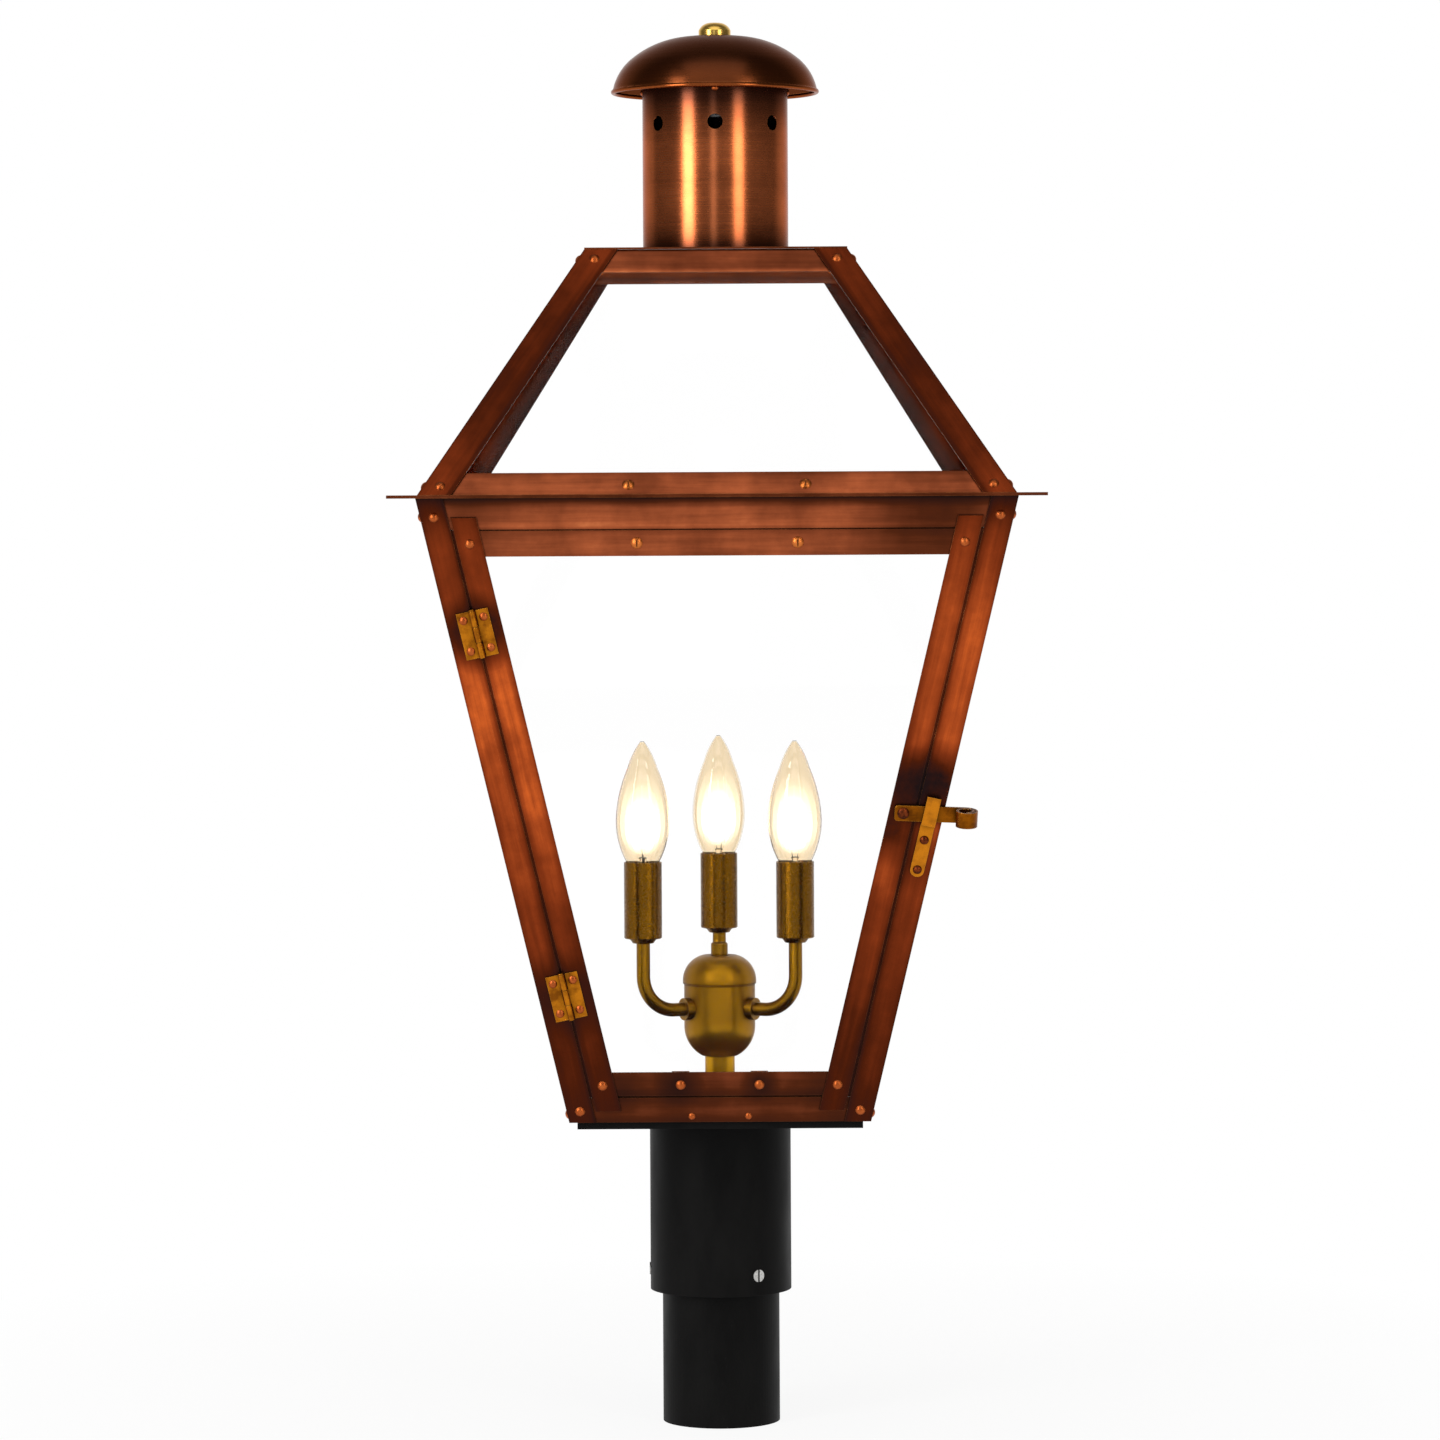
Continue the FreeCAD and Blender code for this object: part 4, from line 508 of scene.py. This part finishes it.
def plated_steel():
    """Zinc plated screws and nuts."""
    finish = Finish("plated_steel")
    finish.set(Metallic=1.0)
    spangle = finish.noise(finish.place(), 700.0, 3.0, 0.5)
    colour = finish.blend(finish.spread(spangle), ZINC_GREY, ZINC_WHITE)
    # painted shade where pieces meet, from ambient occlusion
    colour = finish.blend(finish.crevice_shade(0.002, 0.3, 0.8), colour, ZINC_CORNER_SHADE)
    finish.feed("Base Color", colour)
    finish.feed("Roughness", finish.spread(spangle, 0.22, 0.38))
    finish.bump(spangle, 0.08, 0.0002)
    return finish


def lets_light_past(finish):
    """Glass that lamps shine straight through, so that what is behind it is lit."""
    past = finish.node("ShaderNodeBsdfTransparent")
    path = finish.node("ShaderNodeLightPath")
    finish.lay_over(path.outputs["Is Shadow Ray"], past.outputs["BSDF"])


def pane_glass():
    """Clear anti-glare glass with a very slight wave, which mirrors almost nothing."""
    finish = Finish("pane_glass")
    finish.set(Base_Color=(1.0, 1.0, 1.0), Roughness=0.0, IOR=1.12, Transmission_Weight=1.0)
    wave = finish.noise(finish.stretched((1.0, 1.0, 0.5)), 16.0, 2.0, 0.4)
    finish.bump(wave, 0.02, 0.002)
    lets_light_past(finish)
    return finish


def bulb_glass():
    """Thin clear bulb glass, warm with the light inside it."""
    finish = Finish("bulb_glass")
    finish.set(Base_Color=(0.94, 0.84, 0.68), Roughness=0.0, IOR=1.35, Transmission_Weight=1.0)
    ripple = finish.noise(finish.stretched((1.0, 1.0, 0.35)), 60.0, 2.0, 0.4)
    finish.bump(ripple, 0.05, 0.001)
    lets_light_past(finish)
    return finish


def holder_black():
    """Moulded black lamp holders, with a fine matt grain."""
    finish = Finish("holder_black")
    grain = finish.noise(finish.place(), 1200.0, 2.0, 0.5)
    colour = finish.blend(finish.spread(grain), HOLDER_DARK, HOLDER_LIGHT)
    finish.feed("Base Color", colour)
    finish.feed("Roughness", finish.spread(grain, 0.45, 0.6))
    finish.bump(grain, 0.1, 0.0002)
    return finish


# ---- finishes on the CAD pieces: stops are (height in metres, share of bare copper); some stops are painted shadow and some painted highlights, as said at each
# the last stops are painted shadow under the eave
POST_STOPS = ((0.004, 0.18), (0.040, 0.27), (0.085, 0.36), (0.150, 0.58), (0.210, 0.80), (0.262, 0.97),
              (0.295, 0.92), (0.345, 0.62), (0.380, 0.46), (0.396, 0.20), (0.4025, 0.06))
STILE_STOPS = ((0.010, 0.22), (0.045, 0.24), (0.095, 0.38), (0.150, 0.62), (0.205, 0.76), (0.262, 0.95),
               (0.330, 0.68), (0.375, 0.54), (0.391, 0.42))
# the last stops are painted shadow under the eave, and the peak at 0.3845 is a painted highlight on the
# header's lower edge
RAIL_STOPS = ((0.0, 0.10), (0.0055, 0.20), (0.012, 0.36), (0.0200, 0.24), (0.0225, 0.14), (0.028, 0.32),
              (0.035, 0.35), (0.040, 0.3), (0.365, 0.62), (0.370, 0.66), (0.3795, 0.58), (0.3828, 0.42),
              (0.3845, 0.84), (0.388, 0.70), (0.396, 0.60), (0.400, 0.24), (0.4025, 0.04))
HIP_STOPS = ((0.4045, 0.46), (0.418, 0.42), (0.450, 0.30), (0.515, 0.25), (0.545, 0.38), (0.561, 0.46))
# the peak at 0.546 is a painted highlight on the lower edge of the roof's top rail
ROOF_RAIL_STOPS = ((0.4045, 0.68), (0.410, 0.67), (0.4165, 0.56), (0.4195, 0.40), (0.540, 0.12),
                   (0.5445, 0.18), (0.546, 0.88), (0.549, 0.44), (0.560, 0.50), (0.563, 0.30))
EAVE_STOPS = ((0.40, 0.30), (0.405, 0.36))
CLIP_STOPS = ((0.0, 0.5), (0.7, 0.5))
# the chimney is darker at its foot, and dark at the top as painted shadow under the cap
CHIMNEY_STOPS = ((0.560, 0.05), (0.568, 0.35), (0.580, 0.80), (0.595, 1.0), (0.633, 1.0), (0.648, 0.50),
                 (0.660, 0.14), (0.673, 0.03))
CAP_STOPS = ((0.660, 1.0), (0.6655, 0.85), (0.670, 0.34), (0.684, 0.14), (0.706, 0.06))
# half the width at the foot, the foot's height and the lean of the walls
CAGE_WALLS = (CAGE_FOOT_HALF, CAGE_FOOT, CAGE_LEAN)
ROOF_WALLS = (ROOF_FOOT_HALF, ROOF_FOOT, ROOF_LEAN)
# across a strip: (inset in metres, what the share of bare copper is multiplied by); the low ends are
# painted shade at the strip's edges, on posts and stiles darkest towards the gap between them
POST_SIDES = ((0.0, 0.55), (0.0012, 0.82), (0.004, 1.0), (0.0115, 1.04), (0.0148, 0.80), (0.0169, 0.40))
STILE_SIDES = ((0.0180, 0.40), (0.0200, 0.80), (0.0232, 1.04), (0.0300, 1.0), (0.0328, 0.85),
               (0.0345, 0.60))
HIP_SIDES = ((0.0, 0.6), (0.0015, 0.9), (0.005, 1.0), (0.014, 1.0), (0.017, 0.85), (0.0189, 0.55))
CORNERS = {"front_right": (1, -1), "back_right": (1, 1), "back_left": (-1, 1), "front_left": (-1, -1)}


def corner_line(corner, lean):
    """The direction up one corner of the cage or roof."""
    sx, sy = CORNERS[corner]
    return (sx * math.tan(lean), sy * math.tan(lean), 1.0)


def cage_point(side, inset, height):
    """A point on the front face of the cage, this far in from one of its corner lines."""
    half = CAGE_FOOT_HALF + (height - CAGE_FOOT) * math.tan(CAGE_LEAN)
    return (side * (half - inset * LEVEL_INSET), -half, height)


# the dark stains round hinges, latch and rivets: (centre, near, far, depth)
HINGE_HALOS = ((cage_point(-1, 0.0175, 0.3195), 0.013, 0.028, 0.85),
               (cage_point(-1, 0.0175, 0.087), 0.013, 0.034, 0.7))
LATCH_HALOS = ((cage_point(1, 0.010, 0.2215), 0.008, 0.030, 0.95),
               (cage_point(1, 0.026, 0.220), 0.008, 0.028, 0.85),
               (cage_point(1, 0.030, 0.193), 0.004, 0.026, 0.8),
               (cage_point(1, 0.012, 0.170), 0.003, 0.022, 0.5),
               (cage_point(1, 0.017, 0.268), 0.020, 0.075, 0.2))
RAIL_HALOS = ((cage_point(1, 0.040, 0.392), 0.012, 0.065, 0.50),
              (cage_point(1, 0.055, 0.376), 0.010, 0.045, 0.35),
              (cage_point(-1, 0.030, 0.394), 0.006, 0.040, 0.30),
              ((-0.0258, -0.1017, 0.0296), 0.004, 0.017, 0.75),
              ((0.0258, -0.1017, 0.0296), 0.004, 0.014, 0.75),
              (cage_point(1, 0.030, 0.030), 0.008, 0.030, 0.45),
              (cage_point(-1, 0.034, 0.026), 0.006, 0.022, 0.40))


def finish_copper():
    """The strips and sheets of the cage, door, roof and chimney, and what fastens them."""
    for corner in CORNERS:
        halos = {"front_left": HINGE_HALOS, "front_right": LATCH_HALOS}.get(corner, ())
        cover(["corner_post_" + corner],
              aged_copper("post_copper_" + corner, corner_line(corner, CAGE_LEAN), POST_STOPS,
                          halos=halos, sides=(CAGE_WALLS, POST_SIDES)))
        cover(["roof_hip_" + corner],
              aged_copper("hip_copper_" + corner, corner_line(corner, ROOF_LEAN), HIP_STOPS,
                          corner_shade_and_oxide=0.35, sides=(ROOF_WALLS, HIP_SIDES)))
    for side, halos in (("left", HINGE_HALOS), ("right", LATCH_HALOS)):
        cover(["door_stile_" + side],
              aged_copper("stile_copper_" + side, corner_line("front_" + side, CAGE_LEAN), STILE_STOPS,
                          halos=halos, sides=(CAGE_WALLS, STILE_SIDES)))
    level = (1, 0, 0)
    cover(["header_rails", "sill_rails", "bottom_tray"],
          aged_copper("rail_copper", level, RAIL_STOPS, ROSE_TONES, halos=RAIL_HALOS))
    cover(["door_rail_top", "door_rail_bottom"],
          aged_copper("door_rail_copper", level, RAIL_STOPS, ROSE_TONES, halos=RAIL_HALOS))
    cover(["roof_lower_rails", "roof_top_pan"],
          aged_copper("roof_rail_copper", level, ROOF_RAIL_STOPS, ROSE_TONES))
    cover(["eave_plate"], aged_copper("eave_copper", level, EAVE_STOPS, ROSE_TONES))
    cover(["frame_glass_clips", "door_glass_clips", "cap_bridge"],
          aged_copper("clip_copper", level, CLIP_STOPS))
    cover(["chimney_tube"],
          brushed_round("chimney_copper", CHIMNEY_COPPER, CHIMNEY_DARK, CHIMNEY_STOPS,
                        shaded_tube_radius=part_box("chimney_tube")[1].x))
    cover(["chimney_cap"],
          brushed_round("cap_copper", CAP_COPPER, CAP_DARK, CAP_STOPS, rough=0.28, lines=700.0,
                        stain=0.12))
    cover(["frame_rivets", "bridge_rivets"], rivet_copper("rivet_copper", RIVET_RED, RIVET_BRIGHT))
    cover(["keeper_rivets", "latch_pivot"], rivet_copper("dark_rivet_copper", RIVET_DARK, RIVET_BROWN))
    cover(["frame_clip_screws"], rivet_copper("screw_copper", SCREW_RED, SCREW_ORANGE))
    cover(["door_fasteners"], door_fastener_copper())


def finish_metals():
    """Hinges, latch, lamp cluster, nut, post fitter and the steel that is hidden."""
    cover(["hinge_frame_leaves", "hinge_door_leaves", "hinge_pins"],
          aged_brass("hinge_brass", HINGE_BRIGHT, HINGE_BROWN, corner_line("front_left", CAGE_LEAN)))
    cover(["latch_keeper"],
          aged_brass("keeper_brass", KEEPER_BRIGHT, KEEPER_BROWN, corner_line("front_right", CAGE_LEAN)))
    cover(["latch_arm"], aged_brass("latch_brass", LATCH_BRIGHT, LATCH_BROWN, (1, 0, 0)))
    cover(["cluster_cup", "cluster_cap"],
          cluster_brass("cluster_brass", CLUSTER_OLIVE, 0.36, seam=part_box("cluster_cap")[0].z,
                        belly=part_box("cluster_cup")[0].z))
    cover(["cluster_finial", "cluster_arms"], cluster_brass("arm_brass", ARM_OLIVE, 0.30))
    cover(["cluster_stem"], cluster_brass("stem_brass", STEM_OLIVE, 0.32))
    cover(["socket_covers"], cluster_brass("socket_brass", SOCKET_OLIVE, 0.25))
    cover(["cap_nut", "bulb_caps"], polished_brass())
    cover(["post_sleeve", "base_plate"], black_enamel())
    cover(["sleeve_set_screws", "base_screws", "cap_bolt", "cap_spacer", "stem_locknut"], plated_steel())
    cover(["lamp_holders"], holder_black())


def finish_glass():
    """The panes and the bulbs."""
    panes = ["door_glass"]
    panes += ["glass_" + side for side in ("right", "back", "left")]
    panes += ["roof_glass_" + side for side in ("front", "right", "back", "left")]
    cover(panes, pane_glass())
    cover(["bulbs"], bulb_glass())


# ---- new pieces
def object_from(name, shape, finish):
    """Turn a bmesh into an object of one finish, in place."""
    mesh = bpy.data.meshes.new(name)
    shape.to_mesh(mesh)
    shape.free()
    mesh.materials.append(finish.material)
    made = bpy.data.objects.new(name, mesh)
    bpy.context.scene.collection.objects.link(made)
    return made


def piece(name, mesh_maker, finish):
    """Make a smooth new piece that rides on the lantern."""
    shape = bmesh.new()
    mesh_maker(shape)
    bmesh.ops.recalc_face_normals(shape, faces=shape.faces)
    made = object_from(name, shape, finish)
    made.data.shade_smooth()
    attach(made, "lantern")


def spun(shape, profile, steps, centre):
    """Spin a profile of (radius, height) points about an upright line."""
    cx, cy, cz = centre
    points = [shape.verts.new((cx + radius, cy, cz + height)) for radius, height in profile]
    edges = [shape.edges.new(pair) for pair in zip(points, points[1:])]
    bmesh.ops.spin(shape, geom=points + edges, cent=centre, axis=(0, 0, 1), angle=math.tau, steps=steps,
                   use_merge=True)
    bmesh.ops.remove_doubles(shape, verts=shape.verts, dist=1e-6)


BULB_REACH = 0.057
BULB_ANGLES = (90.0, 210.0, 330.0)
BULB_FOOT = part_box("bulbs")[0].z
STEM_TOP = BULB_FOOT + 0.026
LEAD_RADIUS = 0.00028
FILAMENT_HEIGHT = BULB_FOOT + 0.040
FILAMENT_HALF = 0.0052
FILAMENT_RADIUS = 0.00013
FILAMENT_TURN = 0.9
FILAMENT_RISE = 0.010
COIL_RADIUS = 0.0007
COIL_TURNS, COIL_STEPS = 14, 8


def bulb_centres():
    """The middle of each bulb at height 0, and the angle it stands at."""
    for angle in BULB_ANGLES:
        turn = math.radians(angle)
        yield Vector((BULB_REACH * math.cos(turn), BULB_REACH * math.sin(turn), 0.0)), turn


def filament_line(turn):
    """The level direction from one end of a bulb's filament to the other."""
    return Vector((math.cos(turn + FILAMENT_TURN), math.sin(turn + FILAMENT_TURN), 0.0))


def glass_stem(shape):
    """The pressed glass stem that holds the wires in each bulb."""
    profile = [(0.0, BULB_FOOT + 0.001), (0.0045, BULB_FOOT + 0.001), (0.0042, BULB_FOOT + 0.012),
               (0.0026, BULB_FOOT + 0.020), (0.0020, STEM_TOP - 0.002), (0.0027, STEM_TOP - 0.0005),
               (0.0018, STEM_TOP), (0.0, STEM_TOP)]
    for centre, _ in bulb_centres():
        spun(shape, profile, 20, centre)


def wire(shape, path, radius, sides=8):
    """A round wire along a path of points: one ring at each point, bridged to the next."""
    rings = []
    for i, here in enumerate(path):
        ahead = (path[min(i + 1, len(path) - 1)] - path[max(i - 1, 0)]).normalized()
        turn = Vector((0, 0, 1)).rotation_difference(ahead).to_matrix().to_4x4()
        ring = bmesh.ops.create_circle(shape, segments=sides, radius=radius,
                                       matrix=Matrix.Translation(here) @ turn, cap_ends=False)
        rings.append(ring["verts"])
    for first, second in zip(rings, rings[1:]):
        edges = [e for v in first for e in v.link_edges if e.other_vert(v) in first]
        edges += [e for v in second for e in v.link_edges if e.other_vert(v) in second]
        bmesh.ops.bridge_loops(shape, edges=list(set(edges)))
    for ring in (rings[0], rings[-1]):
        shape.faces.new(ring)


def lead_wires(shape):
    """Two lead wires in each bulb, spread from the stem to the filament's ends."""
    bends = ((0.0014, STEM_TOP - 0.004), (0.0022, STEM_TOP + 0.004), (0.0046, FILAMENT_HEIGHT - 0.010),
             (FILAMENT_HALF, FILAMENT_HEIGHT))
    for centre, turn in bulb_centres():
        across = filament_line(turn)
        for side in (-1, 1):
            path = [centre + across * (side * reach) + Vector((0, 0, height)) for reach, height in bends]
            wire(shape, path, LEAD_RADIUS)


def filaments(shape):
    """A coiled filament in each bulb, hung in an arch between the lead wires."""
    last = COIL_TURNS * COIL_STEPS
    for centre, turn in bulb_centres():
        across = filament_line(turn)
        deep = across.cross(Vector((0, 0, 1)))
        path = []
        for i in range(last + 1):
            share = i / last
            around = math.tau * i / COIL_STEPS
            arch = FILAMENT_RISE * math.sin(math.pi * share)
            height = FILAMENT_HEIGHT + arch + COIL_RADIUS * math.sin(around)
            path.append(centre + across * (FILAMENT_HALF * (2 * share - 1))
                        + deep * (COIL_RADIUS * math.cos(around)) + Vector((0, 0, height)))
        wire(shape, path, FILAMENT_RADIUS, 5)


def glow_shell(wide, foot, widest, top):
    """A shell of light in each bulb, round at the foot and drawn out at the top like a flame."""
    steps = 20

    def shell(shape):
        outline = [(0.0, BULB_FOOT + foot)]
        for i in range(1, steps):
            turn = math.pi * i / steps
            reach = widest - foot if turn < math.pi / 2 else top - widest
            outline.append((wide * math.sin(turn), BULB_FOOT + widest - reach * math.cos(turn)))
        outline.append((0.0, BULB_FOOT + top))
        for centre, _ in bulb_centres():
            spun(shape, outline, 32, centre)
    return shell


def lit_filament():
    """Glowing wire, hotter in some places than in others."""
    finish = Finish("lit_filament")
    coil = finish.noise(finish.place(), 900.0, 3.0, 0.6)
    heat = finish.ramp(coil, [(0.25, (1.0, 0.62, 0.28)), (0.75, (1.0, 0.84, 0.55))])
    finish.feed("Base Color", heat)
    finish.feed("Emission Color", heat)
    finish.set(Emission_Strength=18.0)
    return finish


def warm_light(name, strength, solid, foot, full, fading, top):
    """A shell of glow: solid between two heights and faded to nothing below and above them."""
    finish = Finish(name)
    haze = finish.noise(finish.place(), 90.0, 3.0, 0.55)
    tint = finish.ramp(haze, [(0.3, (1.0, 0.93, 0.80)), (0.7, (1.0, 0.98, 0.93))])
    finish.feed("Base Color", tint)
    finish.feed("Emission Color", tint)
    finish.set(Emission_Strength=strength, Roughness=1.0, Specular_IOR_Level=0.0)
    rising = finish.span(finish.height(), BULB_FOOT + foot, BULB_FOOT + full)
    ending = finish.span(finish.height(), BULB_FOOT + fading, BULB_FOOT + top, 1.0, 0.0)
    patchy = finish.span(haze, 0.25, 0.75, 0.85 * solid, solid)
    finish.feed("Alpha", finish.times(finish.times(rising, ending), patchy))
    return finish


def make_bulb_insides():
    """Stem, wires and filament of each bulb, and three shells of light, one in the other.

    A shell's heights are above the bulb's foot.
    """
    stem = Finish("stem_glass")
    stem.set(Base_Color=(1.0, 0.95, 0.86), Roughness=0.05, IOR=1.45, Transmission_Weight=1.0,
             Specular_IOR_Level=0.3)
    ripple = stem.noise(stem.place(), 500.0, 2.0, 0.5)
    stem.bump(ripple, 0.1, 0.0005)
    lets_light_past(stem)
    piece("bulb_stems", glass_stem, stem)
    piece("bulb_lead_wires", lead_wires, plated_steel())
    piece("bulb_filaments", filaments, lit_filament())
    piece("bulb_glow_hearts", glow_shell(wide=0.0088, foot=0.0265, widest=0.045, top=0.066),
          warm_light("glow_heart", strength=1.6, solid=0.70, foot=0.0275, full=0.037, fading=0.049,
                     top=0.066))
    piece("bulb_glow_bodies", glow_shell(wide=0.0116, foot=0.0255, widest=0.046, top=0.073),
          warm_light("glow_body", strength=1.2, solid=0.40, foot=0.0275, full=0.039, fading=0.048,
                     top=0.073))
    piece("bulb_glow_veils", glow_shell(wide=0.0145, foot=0.0240, widest=0.047, top=0.081),
          warm_light("glow_veil", strength=1.0, solid=0.22, foot=0.0260, full=0.042, fading=0.048,
                     top=0.081))


# ---- floor, stand, lamps, camera
STAND_TOP = -0.0043
STAND_BOTTOM = -0.2003
STAND_RADIUS = 0.0381
FLOOR_RADIUS = 6.0
# the floor glows by this share near the stand, and fully from the second of these distances on
FLOOR_GLOW = 0.90
GLOW_NEAR, GLOW_FAR = 0.22, 0.8
# what is mirrored turns from dim to white between these two depths of its direction
MIRROR_DIM, MIRROR_WHITE = 0.30, 0.90
MIRROR_LOW = 0.12
ROOM_LIGHT = 0.40


def studio_floor():
    """A pale floor that keeps the shadow near the stand and fades to the white backdrop."""
    finish = Finish("studio_floor")
    finish.set(Base_Color=(0.80, 0.80, 0.80), Roughness=0.9)
    away = finish.node("ShaderNodeVectorMath", operation="LENGTH")
    finish.join(finish.place(), away.inputs[0])
    fade = finish.span(away.outputs["Value"], GLOW_NEAR, GLOW_FAR, FLOOR_GLOW, 1.0)
    white = finish.node("ShaderNodeEmission")
    path = finish.node("ShaderNodeLightPath")
    seen = finish.math("MAXIMUM", path.outputs["Is Camera Ray"], path.outputs["Is Glossy Ray"])
    seen = finish.math("MAXIMUM", seen, path.outputs["Is Transmission Ray"])
    finish.lay_over(finish.times(seen, fade), white.outputs["Emission"])
    shape = bmesh.new()
    bmesh.ops.create_circle(shape, segments=64, radius=FLOOR_RADIUS, cap_ends=True,
                            matrix=Matrix.Translation((0, 0, STAND_BOTTOM)))
    object_from("studio_floor", shape, finish)


def stand_post():
    """The plain stand that holds the lantern up in the studio."""
    finish = black_enamel()
    shape = bmesh.new()
    bmesh.ops.create_cone(shape, cap_ends=True, segments=96, radius1=STAND_RADIUS, radius2=STAND_RADIUS,
                          depth=STAND_TOP - STAND_BOTTOM,
                          matrix=Matrix.Translation((0, 0, (STAND_TOP + STAND_BOTTOM) / 2)))
    object_from("stand_post", shape, finish)


def lamp(name, angle, distance, height, size, power, colour=(1.0, 1.0, 1.0), aim=0.45):
    """A soft rectangular lamp aimed at a height on the axis; angle is in degrees right of the front."""
    light = bpy.data.lights.new(name, "AREA")
    light.shape = "RECTANGLE"
    light.size, light.size_y = size
    light.energy = power
    light.color = colour
    turn = math.radians(angle)
    place = Vector((distance * math.sin(turn), -distance * math.cos(turn), height))
    made = bpy.data.objects.new(name, light)
    made.location = place
    made.rotation_euler = (Vector((0, 0, aim)) - place).to_track_quat("-Z", "Y").to_euler()
    bpy.context.scene.collection.objects.link(made)


def white_room():
    """A white backdrop, seen straight or through glass, and a dim studio in front for metal to mirror."""
    world = bpy.data.worlds.new("white_room")
    bpy.context.scene.world = world
    world.use_nodes = True
    wiring = Wiring(world.node_tree)
    background = wiring.tree.nodes["Background"]
    background.inputs["Color"].default_value = (1.0, 1.0, 1.0, 1.0)
    direction = wiring.node("ShaderNodeTexCoord")
    split = wiring.node("ShaderNodeSeparateXYZ")
    wiring.join(direction.outputs["Generated"], split.inputs["Vector"])
    mirrored_room = wiring.span(split.outputs["Y"], MIRROR_DIM, MIRROR_WHITE, MIRROR_LOW, 1.0)
    path = wiring.node("ShaderNodeLightPath")
    through = path.outputs["Is Transmission Ray"]
    straight = wiring.math("MAXIMUM", path.outputs["Is Camera Ray"], through)
    mirrored = wiring.math("SUBTRACT", path.outputs["Is Glossy Ray"], through)
    strength = wiring.node("ShaderNodeMix", data_type="FLOAT")
    wiring.join(mirrored, strength.inputs["Factor"])
    wiring.join(wiring.math("MAXIMUM", straight, ROOM_LIGHT), strength.inputs["A"])
    wiring.join(mirrored_room, strength.inputs["B"])
    wiring.join(strength.outputs["Result"], background.inputs["Strength"])


def studio_lamps():
    """A tall strip on each side, a cool fill in front and a broad lamp overhead."""
    lamp("left_strip", angle=-43.0, distance=1.7, height=0.80, size=(0.50, 1.35), power=20.0,
         colour=(1.0, 0.98, 0.95), aim=0.62)
    lamp("right_strip", angle=37.0, distance=1.7, height=0.80, size=(0.44, 1.35), power=9.0,
         colour=(1.0, 0.97, 0.90), aim=0.62)
    lamp("front_fill", angle=-3.0, distance=2.6, height=0.90, size=(0.34, 1.6), power=2.4,
         colour=(0.80, 0.90, 1.0), aim=0.62)
    lamp("overhead", angle=0.0, distance=1.2, height=2.2, size=(2.0, 2.0), power=13.0)


def photo_camera():
    """The camera of the photograph, level with the eave."""
    view = bpy.data.cameras.new("photo_camera")
    view.sensor_width = SENSOR
    view.lens = SENSOR * FOCAL_PIXELS / PHOTO_SIZE
    view.shift_x = (PHOTO_SIZE / 2 - AXIS_PIXEL) / PHOTO_SIZE
    view.shift_y = (EYE_LEVEL_PIXEL - PHOTO_SIZE / 2) / PHOTO_SIZE
    made = bpy.data.objects.new("photo_camera", view)
    made.location = (0.0, -VIEW_DISTANCE, EYE_HEIGHT)
    made.rotation_euler = Euler((math.radians(90), math.radians(CAMERA_ROLL), 0))
    bpy.context.scene.collection.objects.link(made)
    bpy.context.scene.camera = made


finish_copper()
finish_metals()
finish_glass()
make_bulb_insides()
studio_floor()
stand_post()
white_room()
studio_lamps()
photo_camera()
bpy.context.scene.view_settings.view_transform = "Standard"
